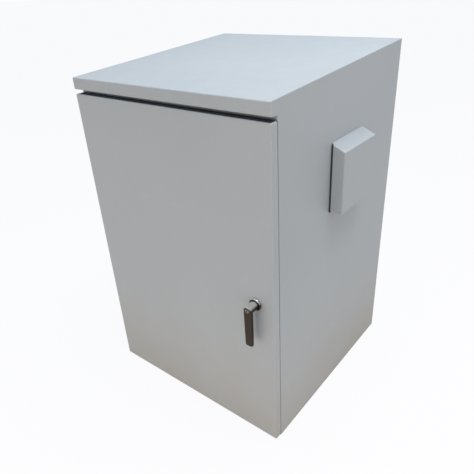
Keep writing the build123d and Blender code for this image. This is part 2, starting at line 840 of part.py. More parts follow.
def make_guide(side, z):
    """Moulded guide: a foot on the door, a stem and an eye around the rod."""
    half = guide_height / 2
    z_range = (z - half, z + half)
    x = rod_x(side)
    eye_x = rod_width / 2 + guide_gap + guide_wall
    eye_y = (rod_front_y - guide_gap - guide_wall, rod_back_y + guide_gap + guide_wall)
    foot_x = (x - guide_foot_length, x + guide_stem_width / 2)
    foot = block(foot_x, (door_inner_y, door_inner_y + guide_foot_thickness), z_range)
    foot = fillet(foot.edges().filter_by(Axis.Y).sort_by(Axis.X)[:2], guide_wall)
    stem = block((x - guide_stem_width / 2, x + guide_stem_width / 2), (door_inner_y, eye_y[1]), z_range)
    eye = block((x - eye_x, x + eye_x), eye_y, z_range)
    eye = fillet(eye.edges().filter_by(Axis.Z), guide_wall / 2)
    slot_x = rod_width / 2 + guide_gap
    slot = block((x - slot_x, x + slot_x), (rod_front_y - guide_gap, rod_back_y + guide_gap), z_range)
    hole = disc(m5_thread + 2 * screw_hole_clearance)
    foot_y = (door_inner_y, door_inner_y + guide_foot_thickness)
    return foot + stem + eye - slot - along_y(hole, foot_y, guide_stud_x(side), z)


def make_door_studs():
    """Studs welded to the inside of the door for hinge leaves and rod guides."""
    tail = m5_nut_height + stud_tail
    studs = []
    for x, z in hinge_stud_places():
        pin = stud(m5_thread, hinge_leaf_sheet + tail)
        studs.append(Pos(x, door_inner_y, z) * TO_BACK * pin)
    for x, z in guide_stud_places():
        pin = stud(m5_thread, guide_foot_thickness + tail)
        studs.append(Pos(x, door_inner_y, z) * TO_BACK * pin)
    return studs


def make_rose():
    """Housing of the lock: domed rose, barrel through the door and a bore for the shaft."""
    face_y = front_y - rose_proud
    seat_y = front_y - washer_thickness
    rose = along_y(disc(rose_diameter), (face_y, seat_y), lock_x, lock_z)
    rose = fillet(rose.edges().sort_by(Axis.Y)[0], rose_dome)
    barrel = along_y(disc(barrel_diameter), (seat_y, front_y + barrel_length), lock_x, lock_z)
    bore = disc(shaft_diameter + 2 * shaft_fit)
    return rose + barrel - along_y(bore, (face_y, front_y + barrel_length), lock_x, lock_z)


def make_lock_washer():
    """Rubber washer under the rose."""
    ring = disc(rose_diameter - 2 * washer_margin) - disc(barrel_diameter + 2 * barrel_hole_clearance)
    return along_y(ring, (front_y - washer_thickness, front_y), lock_x, lock_z)


def make_lock_nut():
    """Flat hexagon nut on the barrel, inside the door."""
    section = RegularPolygon(lock_nut_flats / 2, 6, major_radius=False, rotation=lock_nut_turn)
    section -= disc(barrel_diameter + 2 * thread_clearance)
    return along_y(section, (door_inner_y, door_inner_y + lock_nut_height), lock_x, lock_z)


def lever_outline():
    """Front view of the lever: a round hub and a blade that narrows downward."""
    hub = hub_diameter / 2
    mid = lever_mid_width / 2
    tip = lever_tip_width / 2
    points = [(-hub, 0), (-mid, -lever_mid_drop), (-tip, -lever_length)]
    points += [(-x, z) for x, z in reversed(points)]
    blade = Polygon(*points, align=None)
    blade = fillet(blade.vertices().sort_by(Axis.Y)[:2], lever_tip_radius)
    return blade + disc(hub_diameter)


def make_lever():
    """Lever with bevelled front edges, neck, shaft, square spindle and a bore for the key plug."""
    face_y = front_y - hub_proud
    blade = along_y(lever_outline(), (face_y, face_y + lever_thickness), lock_x, lock_z)
    blade = chamfer(blade.faces().sort_by(Axis.Y)[0].edges(), lever_bevel)
    neck_y = (face_y + lever_thickness / 2, front_y - rose_proud - hub_gap)
    neck = along_y(disc(hub_diameter), neck_y, lock_x, lock_z)
    shaft = along_y(disc(shaft_diameter), (neck_y[1], cam_front_y), lock_x, lock_z)
    spindle = along_y(Rectangle(spindle_square, spindle_square), (cam_front_y, cam_back_y), lock_x, lock_z)
    lever = blade + neck + shaft + spindle
    bore = disc(plug_diameter + 2 * plug_fit)
    lever -= along_y(bore, (face_y, face_y + plug_depth), lock_x, lock_z)
    screw_hole = disc(cam_screw_thread + 2 * thread_clearance)
    return lever - along_y(screw_hole, (cam_back_y - cam_screw_depth, cam_back_y), lock_x, lock_z)


def make_lock_plug():
    """Key cylinder plug in the hub, with its keyway upright."""
    face_y = front_y - hub_proud - plug_proud
    plug = along_y(disc(plug_diameter), (face_y, face_y + plug_depth), lock_x, lock_z)
    plug = chamfer(plug.edges().sort_by(Axis.Y)[0], plug_proud)
    keyway = SlotOverall(keyway_length, keyway_width, rotation=90)
    return plug - along_y(keyway, (face_y, face_y + keyway_depth), lock_x, lock_z)


def pin_angle(side):
    """Angle of a drive pin with the handle down, from +X toward +Z."""
    return upper_pin_angle if side > 0 else upper_pin_angle + 180


def pin_place(side):
    """Middle of a drive pin with the handle down."""
    angle = math.radians(pin_angle(side))
    return lock_x + drive_radius * math.cos(angle), lock_z + drive_radius * math.sin(angle)


def make_cam():
    """Cam on the spindle with a tongue that stands up while the door is free."""
    root = tongue_root_width / 2
    tip = tongue_tip_width / 2
    tongue = Polygon((-root, 0), (root, 0), (tip, tongue_length), (-tip, tongue_length), align=None)
    cam = along_y(tongue + disc(2 * cam_radius), (cam_front_y, cam_back_y), lock_x, lock_z)
    end = cam.faces().sort_by(Axis.Z)[-1]
    cam = chamfer(end.edges().sort_by(Axis.Y)[0], tongue_bevel)
    hole = spindle_square + 2 * spindle_fit
    cam -= along_y(Rectangle(hole, hole), (cam_front_y, cam_back_y), lock_x, lock_z)
    for side in (-1, 1):
        x, z = pin_place(side)
        cam -= along_y(disc(drive_pin + 2 * thread_clearance), (cam_front_y, cam_back_y), x, z)
    return cam


def make_drive_pins():
    """Two pins in the cam, each with a head behind the rod that it drives."""
    head_y = rod_back_y + rod_gap
    pins = []
    for side in (-1, 1):
        x, z = pin_place(side)
        pin = along_y(disc(drive_pin), (cam_front_y, head_y), x, z)
        pins.append(pin + along_y(disc(drive_pin_head), (head_y, head_y + drive_pin_head_height), x, z))
    return pins


def make_rod(side):
    """Flat rod from the drive pin to a fork at the far end: upper on the left, lower on the right."""
    x = rod_x(side)
    pin_z = pin_place(side)[1]
    way = -side
    roller_z = upper_roller_z if way > 0 else lower_roller_z
    head_z = (pin_z - rod_head_height / 2, pin_z + rod_head_height / 2)
    y_range = (rod_front_y, rod_back_y)
    pin_reach = drive_radius + drive_pin / 2 + drive_slot_clearance
    inner_x = lock_x + side * (cam_screw_head / 2 + rod_head_inner_gap)
    outer_x = lock_x + side * (pin_reach + rod_head_back)
    head = block(sorted((inner_x, outer_x)), y_range, head_z)
    head = fillet(head.edges().filter_by(Axis.Y), guide_wall)
    fork_root = roller_z - way * (fork_length - fork_tip)
    bar = block((x - rod_width / 2, x + rod_width / 2), y_range, sorted((pin_z, fork_root)))
    fork_y = (rod_middle_y - fork_depth / 2, rod_middle_y + fork_depth / 2)
    fork_z = sorted((fork_root, roller_z + way * fork_tip))
    fork = block((x - fork_width / 2, x + fork_width / 2), fork_y, fork_z)
    fork = fillet(fork.edges().filter_by(Axis.X), fork_tip / 2)
    slot_half = roller_width / 2 + roller_side_gap
    cut_z = sorted((roller_z - way * (roller_diameter / 2 + fork_tip), roller_z + way * beyond))
    slot = block((x - slot_half, x + slot_half), fork_y, cut_z)
    fork_x = (x - fork_width / 2, x + fork_width / 2)
    pin_hole = along_x(disc(roller_pin + 2 * roller_fit), fork_x, rod_middle_y, roller_z)
    slot_height = drive_pin / 2 + drive_slot_clearance
    drive_x = sorted((inner_x, lock_x + side * pin_reach))
    drive_slot = block(drive_x, y_range, (pin_z - slot_height, pin_z + slot_height))
    return head + bar + fork - slot - pin_hole - drive_slot


def make_roller(side):
    """Roller at the end of a rod."""
    x = rod_x(side)
    z = upper_roller_z if side < 0 else lower_roller_z
    x_range = (x - roller_width / 2, x + roller_width / 2)
    roller = along_x(disc(roller_diameter), x_range, rod_middle_y, z)
    roller = chamfer(roller.edges().filter_by(GeomType.CIRCLE), roller_side_gap * 2)
    return roller - along_x(disc(roller_pin + 2 * roller_fit), x_range, rod_middle_y, z)


def make_roller_pin(side):
    """Pin of a roller, held by the fork."""
    x = rod_x(side)
    z = upper_roller_z if side < 0 else lower_roller_z
    return along_x(disc(roller_pin), (x - fork_width / 2, x + fork_width / 2), rod_middle_y, z)


def save_door():
    """The door with its hinges, gasket, rails and studs."""
    save("door_panel", make_door_panel())
    save("door_gasket", make_door_gasket())
    save("door_rail_left", make_door_rail(rail_left_x))
    save("door_rail_right", make_door_rail(rail_right_x))
    for name, z in zip(("lower", "middle", "upper"), hinge_heights):
        save(f"hinge_bracket_{name}", make_hinge_bracket(z))
        save(f"hinge_leaf_{name}", make_hinge_leaf(z))
        save(f"hinge_pin_{name}", make_hinge_pin(z))
    nut = TO_BACK * hex_nut(m5_thread, m5_flats, m5_nut_height)
    save("door_studs", *make_door_studs())
    save("hinge_nuts", *[Pos(x, leaf_back_y, z) * nut for x, z in hinge_stud_places()])
    guide_seat = door_inner_y + guide_foot_thickness
    save("guide_nuts", *[Pos(x, guide_seat, z) * nut for x, z in guide_stud_places()])
    save("rod_guides", *[make_guide(side, z) for side, z in guides()])


def save_lock():
    """The lock, its lever and the rods that it throws up and down."""
    save("lock_housing", make_rose())
    save("lock_washer", make_lock_washer())
    save("lock_nut", make_lock_nut())
    save("handle_lever", make_lever())
    save("lock_plug", make_lock_plug())
    save("latch_cam", make_cam())
    screw_length = cam_screw_depth - screw_tail
    screw = TO_BACK * pan_screw(cam_screw_thread, screw_length, cam_screw_head, cam_screw_head_height)
    save("cam_screw", Pos(lock_x, cam_back_y, lock_z) * screw)
    save("drive_pins", *make_drive_pins())
    for name, side in (("upper", -1), ("lower", 1)):
        save(f"{name}_rod", make_rod(side))
        save(f"{name}_roller", make_roller(side))
        save(f"{name}_roller_pin", make_roller_pin(side))


save_body()
save_door()
save_lock()
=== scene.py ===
import json
import logging
import math
from dataclasses import dataclass
from enum import Enum
from typing import Callable, Iterable, Sequence

import bmesh
import bpy
from mathutils import Matrix, Vector, noise

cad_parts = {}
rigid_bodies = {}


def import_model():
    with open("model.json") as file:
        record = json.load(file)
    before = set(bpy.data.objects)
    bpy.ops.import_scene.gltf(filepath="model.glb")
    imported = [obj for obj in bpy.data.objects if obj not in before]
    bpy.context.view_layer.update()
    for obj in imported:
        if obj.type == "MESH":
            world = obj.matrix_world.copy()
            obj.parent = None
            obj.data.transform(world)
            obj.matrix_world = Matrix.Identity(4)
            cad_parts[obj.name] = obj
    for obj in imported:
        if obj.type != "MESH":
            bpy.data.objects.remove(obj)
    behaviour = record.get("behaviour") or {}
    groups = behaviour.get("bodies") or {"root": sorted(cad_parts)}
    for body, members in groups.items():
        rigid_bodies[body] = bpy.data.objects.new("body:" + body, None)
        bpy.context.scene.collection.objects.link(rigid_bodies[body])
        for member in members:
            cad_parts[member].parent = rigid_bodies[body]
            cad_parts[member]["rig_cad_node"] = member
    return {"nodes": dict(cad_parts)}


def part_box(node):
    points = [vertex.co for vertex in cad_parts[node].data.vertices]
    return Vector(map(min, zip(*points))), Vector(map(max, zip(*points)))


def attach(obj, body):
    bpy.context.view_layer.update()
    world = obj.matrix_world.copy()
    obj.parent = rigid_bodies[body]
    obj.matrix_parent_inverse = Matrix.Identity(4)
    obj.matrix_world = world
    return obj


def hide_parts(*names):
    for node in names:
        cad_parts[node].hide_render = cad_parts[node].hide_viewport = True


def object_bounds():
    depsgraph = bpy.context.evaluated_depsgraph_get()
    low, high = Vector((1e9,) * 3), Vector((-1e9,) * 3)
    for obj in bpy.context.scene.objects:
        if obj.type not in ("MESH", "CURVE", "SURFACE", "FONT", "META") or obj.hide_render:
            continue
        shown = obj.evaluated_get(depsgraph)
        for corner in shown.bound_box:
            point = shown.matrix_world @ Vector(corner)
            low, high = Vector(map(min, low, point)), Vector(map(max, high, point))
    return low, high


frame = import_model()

CAD_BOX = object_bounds()
LOG = logging.getLogger("utility_cabinet")
MM = 0.001
Colour = tuple[float, float, float]
Point2 = tuple[float, float]
Point3 = tuple[float, float, float]
Rings = Sequence[Sequence[Vector]]
BMesh = bmesh.types.BMesh
Piece = bpy.types.Object
Socket = bpy.types.NodeSocket
Sockets = dict[str, Socket]


class Facing(Enum):
    """Way that a stud points from its root."""

    FRONT = Vector((0, -1, 0))
    BACK = Vector((0, 1, 0))
    UP = Vector((0, 0, 1))


class Graph:
    """A node tree that is filled one node at a time."""

    def __init__(self, tree: bpy.types.NodeTree) -> None:
        """Start from a material's or group's tree."""
        self.tree = tree

    def feed(self, target: Socket, value: object) -> None:
        """Link a socket into an input, or set the input to a constant.

        Args:
            target: Input socket.
            value: A socket, a number, or a colour of three or four numbers.
        """
        if isinstance(value, bpy.types.NodeSocket):
            self.tree.links.new(value, target)
        elif isinstance(value, tuple) and len(value) == 3 and target.type == "RGBA":
            target.default_value = (*value, 1.0)
        else:
            target.default_value = value

    def add(self, kind: str, inputs: dict | None = None, **settings: object) -> bpy.types.Node:
        """Add a node, set its options and feed its inputs.

        Args:
            kind: Node type without the "ShaderNode" prefix.
            inputs: Input name or index to value or socket.
            settings: Node attributes.

        Returns:
            The new node.
        """
        node = self.tree.nodes.new("ShaderNode" + kind)
        for name, value in settings.items():
            setattr(node, name, value)
        for key, value in (inputs or {}).items():
            self.feed(node.inputs[key], value)
        return node

    def calc(self, operation: str, *values: object, clamp: bool = False) -> Socket:
        """Result of one arithmetic step on numbers or sockets, held in 0 to 1 if clamped."""
        node = self.add("Math", dict(enumerate(values)), operation=operation, use_clamp=clamp)
        return node.outputs[0]

    def times(self, first: object, second: object) -> Socket:
        """Product of two values."""
        return self.calc("MULTIPLY", first, second)

    def remap(
        self, value: Socket, low: float, high: float, to_low: float = 0.0, to_high: float = 1.0
    ) -> Socket:
        """Value carried from the range low to high over to another one, and held inside it."""
        node = self.add("MapRange", {0: value, 1: low, 2: high, 3: to_low, 4: to_high})
        return node.outputs[0]

    def blend(self, factor: object, first: object, second: object) -> Socket:
        """Mix of two colours, from the first at factor 0 to the second at 1."""
        inputs = {"Factor": factor, 6: first, 7: second}
        return self.add("Mix", inputs, data_type="RGBA").outputs[2]

    def noise(self, where: Socket, scale: object, detail: object = 2.0, roughness: float = 0.5) -> Socket:
        """Soft noise: scale in cells per metre, detail as the number of finer layers."""
        inputs = {"Vector": where, "Scale": scale, "Detail": detail, "Roughness": roughness}
        return self.add("TexNoise", inputs).outputs[0]

    def place(self) -> Socket:
        """Coordinates fixed to the piece, in metres."""
        return self.add("TexCoord").outputs["Object"]

    def effect(self, group: bpy.types.NodeTree, **values: object) -> bpy.types.bpy_prop_collection:
        """Outputs of a shared effect that is given its own values."""
        return self.add("Group", values, node_tree=group).outputs


class SharedEffects:
    """Shader node groups that several finishes use, each built once."""

    def __init__(self) -> None:
        """Build every group."""
        self.edge_wear = self._build(self._edge_wear, ["Mask"], Radius=2.0 * MM, Breakup=0.5)
        self.grain = self._build(self._grain, ["Height", "Mask"], Scale=600.0, Detail=2.0)
        self.sheet_waves = self._build(self._sheet_waves, ["Height", "Mask"], Scale=3.0)
        self.dust = self._build(self._dust, ["Mask"], Amount=0.5, Scale=30.0)
        self.splash = self._build(self._splash, ["Mask"], Top=0.3, Breakup=0.5)
        self.scuffs = self._build(self._scuffs, ["Mask"], Scale=40.0, Amount=0.5)

    @staticmethod
    def _build(
        fill: Callable[[Graph, Sockets], Sockets], outputs: Sequence[str], **inputs: float
    ) -> bpy.types.NodeTree:
        """Make a group with named inputs and outputs.

        Args:
            fill: Function that adds the nodes and returns the output sockets by name.
            outputs: Output names.
            inputs: Input names and their default values.

        Returns:
            The finished group, named after the function.
        """
        tree = bpy.data.node_groups.new(fill.__name__.lstrip("_"), "ShaderNodeTree")
        for label, value in inputs.items():
            socket = tree.interface.new_socket(label, in_out="INPUT", socket_type="NodeSocketFloat")
            socket.default_value = value
        for label in outputs:
            tree.interface.new_socket(label, in_out="OUTPUT", socket_type="NodeSocketFloat")
        entry = tree.nodes.new("NodeGroupInput")
        leave = tree.nodes.new("NodeGroupOutput")
        results = fill(Graph(tree), {label: entry.outputs[label] for label in inputs})
        for label, socket in results.items():
            tree.links.new(socket, leave.inputs[label])
        return tree

    @staticmethod
    def _edge_wear(graph: Graph, given: Sockets) -> Sockets:
        """Mask of edges and corners, broken up by noise.

        Args:
            graph: The group's tree.
            given: Input sockets by name.

        Returns:
            Output sockets by name.
        """
        rounded = graph.add("Bevel", {"Radius": given["Radius"]}, samples=4)
        true_normal = graph.add("NewGeometry").outputs["Normal"]
        inputs = {0: rounded.outputs[0], 1: true_normal}
        likeness = graph.add("VectorMath", inputs, operation="DOT_PRODUCT").outputs["Value"]
        edge = graph.remap(graph.calc("SUBTRACT", 1.0, likeness), 0.02, 0.22)
        patches = graph.noise(graph.place(), scale=90.0, detail=4.0, roughness=0.65)
        kept = graph.calc("GREATER_THAN", patches, graph.times(given["Breakup"], 0.6))
        soft = graph.remap(patches, 0.3, 0.7)
        return {"Mask": graph.times(edge, graph.times(kept, soft))}

    @staticmethod
    def _grain(graph: Graph, given: Sockets) -> Sockets:
        """Fine even grain, as of powder coat, casting skin or foam."""
        fine = graph.noise(graph.place(), given["Scale"], given["Detail"], roughness=0.6)
        return {"Height": fine, "Mask": graph.remap(fine, 0.35, 0.65)}

    @staticmethod
    def _sheet_waves(graph: Graph, given: Sockets) -> Sockets:
        """Slow waves of a large thin sheet."""
        slow = graph.noise(graph.place(), given["Scale"], detail=1.0, roughness=0.4)
        return {"Height": slow, "Mask": graph.remap(slow, 0.3, 0.7)}

    @staticmethod
    def _dust(graph: Graph, given: Sockets) -> Sockets:
        """Dust that settles on faces that look up.

        Args:
            graph: The group's tree.
            given: Input sockets by name.

        Returns:
            Output sockets by name.
        """
        normal = graph.add("NewGeometry").outputs["Normal"]
        upward = graph.add("SeparateXYZ", {0: normal}).outputs["Z"]
        flat = graph.remap(upward, 0.3, 0.95)
        patches = graph.noise(graph.place(), given["Scale"], detail=5.0, roughness=0.6)
        cloud = graph.remap(patches, 0.35, 0.75)
        return {"Mask": graph.times(graph.times(flat, cloud), given["Amount"])}

    @staticmethod
    def _splash(graph: Graph, given: Sockets) -> Sockets:
        """Mask of a painted warm ground bounce near the ground that fades out upward.

        Args:
            graph: The group's tree.
            given: Input sockets by name.

        Returns:
            Output sockets by name.
        """
        where = graph.place()
        height = graph.add("SeparateXYZ", {0: where}).outputs["Z"]
        patches = graph.noise(where, scale=9.0, detail=6.0, roughness=0.6)
        shift = graph.times(graph.calc("SUBTRACT", patches, 0.5), given["Breakup"])
        level = graph.calc("DIVIDE", height, given["Top"])
        fade = graph.calc("SUBTRACT", 1.0, graph.calc("ADD", level, shift), clamp=True)
        return {"Mask": graph.times(fade, fade)}

    @staticmethod
    def _scuffs(graph: Graph, given: Sockets) -> Sockets:
        """Sparse soft rub marks."""
        coarse = graph.noise(graph.place(), given["Scale"], detail=6.0, roughness=0.7)
        return {"Mask": graph.times(graph.remap(coarse, 0.58, 0.74), given["Amount"])}


class Finish:
    """Base of the finishes: makes one material and hands it to pieces."""

    label = "finish"
    slot_name = "powder_coat"
    metallic = 0.0
    grain_scale = 900.0
    grain_detail = 4.0
    grain_depth = 0.03 * MM
    rough = (0.3, 0.5)

    def __init__(self, effects: SharedEffects) -> None:
        """Build the material.

        Args:
            effects: The shared node groups.
        """
        self.effects = effects
        self.material = bpy.data.materials.new(self.label)
        self.material.use_nodes = True
        tree = self.material.node_tree
        self.graph = Graph(tree)
        self.shader = tree.nodes["Principled BSDF"]
        self.shader.inputs["Metallic"].default_value = self.metallic
        self.fill()

    def fill(self) -> None:
        """Add the finish's own nodes."""
        raise NotImplementedError

    def surface(self, colour: Socket, roughness: Socket) -> None:
        """Link the base colour and the roughness."""
        self.graph.feed(self.shader.inputs["Base Color"], colour)
        self.graph.feed(self.shader.inputs["Roughness"], roughness)

    def bump(self, height: Socket, depth: float, under: Socket | None = None) -> Socket:
        """Raise the surface by a height.

        Args:
            height: Height value between 0 and 1.
            depth: Real depth of the relief in metres.
            under: Normal of a coarser relief that this one lies on.

        Returns:
            The new normal's socket, which is also linked to the shader.
        """
        node = self.graph.add("Bump", {"Strength": 1.0, "Distance": depth, "Height": height})
        if under is not None:
            self.graph.feed(node.inputs["Normal"], under)
        self.graph.feed(self.shader.inputs["Normal"], node.outputs[0])
        return node.outputs[0]

    def grain(self, under: Socket | None = None) -> Socket:
        """Raise the shared grain at the finish's own scale.

        Args:
            under: Normal of a coarser relief that the grain lies on.

        Returns:
            The grain's mask.
        """
        made = self.graph.effect(self.effects.grain, Scale=self.grain_scale, Detail=self.grain_detail)
        self.bump(made["Height"], self.grain_depth, under)
        return made["Mask"]

    def rough_by(self, mask: Socket) -> Socket:
        """Roughness inside the finish's range, led by a mask."""
        return self.graph.remap(mask, 0.0, 1.0, *self.rough)

    def dress(self, *objects: Piece) -> None:
        """Give the finish to every slot of the pieces.

        Args:
            objects: Pieces to dress.
        """
        for piece in objects:
            slots = piece.data.materials
            if not slots:
                slots.append(self.material)
            for index in range(len(slots)):
                slots[index] = self.material

    def dress_nodes(self, *names: str) -> None:
        """Give the finish to nodes of the frame, by name."""
        self.dress(*(frame["nodes"][name] for name in names))


class PowderCoat(Finish):
    """Light grey outdoor powder coat with a fine texture and a painted warm ground bounce that fades out
    upward from the bottom.
    """

    label = "powder_coat_grey"
    slot_name = "powder_coat"
    paint: Colour = (0.40, 0.425, 0.44)
    paint_shift: Colour = (0.425, 0.445, 0.455)
    # painted light: warm tint that stands in for warm light bounced up from the ground
    painted_bounce_tint: Colour = (0.42, 0.385, 0.335)
    worn_edge: Colour = (0.66, 0.68, 0.69)
    dust_colour: Colour = (0.50, 0.50, 0.48)
    grain_scale = 1400.0
    grain_detail = 3.0
    grain_depth = 0.06 * MM
    rough = (0.40, 0.50)
    wave_depth = 4.0 * MM
    painted_bounce_share = 0.7
    lower_zone_rough = 0.12
    scuff_share = 0.35
    scuff_rough = 0.1
    edge_share = 0.7

    def fill(self) -> None:
        """Mix paint, painted warm ground bounce, dust and worn edges, over waves and fine texture."""
        graph = self.graph
        waves = graph.effect(self.effects.sheet_waves, Scale=2.6)
        edges = graph.effect(self.effects.edge_wear, Radius=1.6 * MM, Breakup=0.75)["Mask"]
        dust = graph.effect(self.effects.dust, Amount=0.35, Scale=24.0)["Mask"]
        # painted light: mask of the warm ground bounce, strongest near the ground
        painted_bounce_mask = graph.effect(self.effects.splash, Top=0.42, Breakup=0.7)["Mask"]
        scuffs = graph.effect(self.effects.scuffs, Scale=34.0, Amount=0.25)["Mask"]
        grain = self.grain(self.bump(waves["Height"], self.wave_depth))
        base = graph.blend(waves["Mask"], self.paint, self.paint_shift)
        base = graph.blend(graph.times(painted_bounce_mask, self.painted_bounce_share), base, self.painted_bounce_tint)
        base = graph.blend(dust, base, self.dust_colour)
        base = graph.blend(graph.times(scuffs, self.scuff_share), base, self.worn_edge)
        base = graph.blend(graph.times(edges, self.edge_share), base, self.worn_edge)
        rough = graph.calc("ADD", self.rough_by(grain), graph.times(painted_bounce_mask, self.lower_zone_rough))
        self.surface(base, graph.calc("ADD", rough, graph.times(scuffs, self.scuff_rough)))


class GalvanisedSheet(Finish):
    """Hot-dip galvanised sheet with spangles."""

    label = "galvanised_sheet"
    slot_name = "galvanised_sheet"
    metallic = 0.85
    light_zinc: Colour = (0.60, 0.62, 0.64)
    dark_zinc: Colour = (0.42, 0.44, 0.46)
    spangle_scale = 110.0
    grain_scale = 300.0
    grain_depth = 0.05 * MM
    grain_rough = 0.08
    rough = (0.32, 0.5)

    def fill(self) -> None:
        """Colour each spangle on its own and roughen the sheet a little."""
        graph = self.graph
        cells = {"Vector": graph.place(), "Scale": self.spangle_scale, "Randomness": 1.0}
        spangles = graph.add("TexVoronoi", cells).outputs["Color"]
        shade = graph.add("SeparateColor", {0: spangles}).outputs[0]
        rough = graph.calc("ADD", self.rough_by(shade), graph.times(self.grain(), self.grain_rough))
        self.surface(graph.blend(shade, self.dark_zinc, self.light_zinc), rough)


class ZincPlate(Finish):
    """Clear zinc plating on turned, stamped and drawn steel."""

    label = "zinc_plate"
    slot_name = "zinc_plated_steel"
    metallic = 1.0
    clear_zinc: Colour = (0.47, 0.48, 0.48)
    yellowed: Colour = (0.47, 0.44, 0.36)
    worn_edge: Colour = (0.62, 0.62, 0.61)
    edge_share = 0.6
    rough = (0.33, 0.50)

    def fill(self) -> None:
        """Vary the passivation tint and the polish, with paler worn edges."""
        graph = self.graph
        tint = graph.remap(graph.noise(graph.place(), scale=60.0, detail=3.0), 0.4, 0.7)
        edges = graph.effect(self.effects.edge_wear, Radius=0.6 * MM, Breakup=0.4)["Mask"]
        base = graph.blend(tint, self.clear_zinc, self.yellowed)
        base = graph.blend(graph.times(edges, self.edge_share), base, self.worn_edge)
        self.surface(base, self.rough_by(self.grain()))


class FoamRubber(Finish):
    """Black closed-cell foam and rubber."""

    label = "black_foam_rubber"
    slot_name = "black_rubber"
    black: Colour = (0.012, 0.013, 0.014)
    bloom: Colour = (0.035, 0.036, 0.037)
    grain_scale = 1100.0
    grain_depth = 0.08 * MM
    pit_scale = 1500.0
    pit_depth = 0.12 * MM
    rough = (0.62, 0.82)

    def fill(self) -> None:
        """Pitted skin with a grey bloom on the raised places."""
        graph = self.graph
        cells = graph.add("TexVoronoi", {"Vector": graph.place(), "Scale": self.pit_scale})
        pits = graph.remap(cells.outputs["Distance"], 0.0, 0.5)
        grain = self.grain(self.bump(pits, self.pit_depth))
        self.surface(graph.blend(grain, self.black, self.bloom), self.rough_by(grain))


class LeverCoat(Finish):
    """Dark chromed zinc casting with a painted highlight on its upper sides and a brown tint that paints the
    reflection of the dark ground, polished by hands at the edges.
    """

    label = "dark_chrome_casting"
    slot_name = "black_coated_metal"
    metallic = 1.0
    # dark metal, tinted brown as a painted reflection of the dark ground
    dark: Colour = (0.046, 0.034, 0.025)
    # painted highlight: near-white colour laid on the faces that look up
    bright: Colour = (0.95, 0.92, 0.89)
    rubbed: Colour = (0.30, 0.27, 0.24)
    painted_highlight_range = (0.25, 0.7)
    grain_scale = 1700.0
    grain_detail = 3.0
    grain_depth = 0.04 * MM
    rough = (0.14, 0.22)
    scuff_share = 0.25
    scuff_rough = 0.12
    edge_share = 0.6

    def fill(self) -> None:
        """Dark base tinted brown as a painted ground reflection, a painted highlight on the upper sides, and
        rubbed edges over a fine casting grain.
        """
        graph = self.graph
        own_normal = graph.add("TexCoord").outputs["Normal"]
        height = graph.add("SeparateXYZ", {0: own_normal}).outputs["Z"]
        # painted highlight: mask of the faces that look up
        upward = graph.remap(height, *self.painted_highlight_range)
        edges = graph.effect(self.effects.edge_wear, Radius=0.9 * MM, Breakup=0.55)["Mask"]
        scuffs = graph.effect(self.effects.scuffs, Scale=120.0, Amount=0.5)["Mask"]
        base = graph.blend(graph.times(scuffs, self.scuff_share), self.dark, self.rubbed)
        base = graph.blend(graph.times(edges, self.edge_share), base, self.rubbed)
        rough = graph.calc("ADD", self.rough_by(self.grain()), graph.times(scuffs, self.scuff_rough))
        self.surface(graph.blend(upward, base, self.bright), rough)


class NickelPlug(Finish):
    """Nickel-plated key cylinder, tarnished in patches."""

    label = "nickel_plug"
    slot_name = "nickel_plate"
    metallic = 1.0
    nickel: Colour = (0.22, 0.20, 0.18)
    tarnish: Colour = (0.10, 0.09, 0.08)
    grain_scale = 2500.0
    grain_detail = 2.0
    grain_depth = 0.02 * MM
    rough = (0.22, 0.4)

    def fill(self) -> None:
        """Darken with tarnish patches over a very fine grain."""
        graph = self.graph
        patches = graph.remap(graph.noise(graph.place(), scale=400.0, detail=4.0), 0.4, 0.7)
        colour = graph.blend(patches, self.nickel, self.tarnish)
        self.surface(colour, self.rough_by(self.grain()))


class MouldedNylon(Finish):
    """Dark glass-filled nylon."""

    label = "moulded_nylon"
    slot_name = "nylon"
    charcoal: Colour = (0.028, 0.029, 0.031)
    fibre: Colour = (0.07, 0.072, 0.075)
    fibre_share = 0.5
    grain_scale = 800.0
    grain_detail = 5.0
    grain_depth = 0.06 * MM
    rough = (0.42, 0.6)

    def fill(self) -> None:
        """Show fine fibres in the skin."""
        grain = self.grain()
        fibres = self.graph.times(grain, self.fibre_share)
        self.surface(self.graph.blend(fibres, self.charcoal, self.fibre), self.rough_by(grain))


class FilterFleece(Finish):
    """Off-white filter fleece, greyed by the air that it passes."""

    label = "filter_fleece"
    slot_name = "filter_fleece"
    clean: Colour = (0.72, 0.71, 0.66)
    greyed: Colour = (0.40, 0.38, 0.34)
    fibre_depth = 0.6 * MM
    rough = (0.85, 1.0)

    def fill(self) -> None:
        """Tangle fibres and grey them in patches."""
        graph = self.graph
        where = graph.place()
        fibres = graph.noise(where, scale=900.0, detail=8.0, roughness=0.75)
        patches = graph.remap(graph.noise(where, scale=40.0, detail=3.0), 0.35, 0.7)
        colour = graph.blend(graph.times(patches, fibres), self.clean, self.greyed)
        self.surface(colour, graph.remap(fibres, 0.3, 0.7, *self.rough))
        self.bump(fibres, self.fibre_depth)


class PlainBrass(Finish):
    """Brass earth fastener, a little dulled."""

    label = "plain_brass"
    slot_name = "brass"
    metallic = 1.0
    bright: Colour = (0.72, 0.52, 0.22)
    dull: Colour = (0.42, 0.30, 0.14)
    grain_scale = 1500.0
    grain_detail = 3.0
    rough = (0.26, 0.5)

    def fill(self) -> None:
        """Dull the brass in patches."""
        graph = self.graph
        cloud = graph.noise(graph.place(), scale=180.0, detail=5.0, roughness=0.65)
        patches = graph.remap(cloud, 0.4, 0.7)
        self.surface(graph.blend(patches, self.bright, self.dull), self.rough_by(patches))
        self.grain()


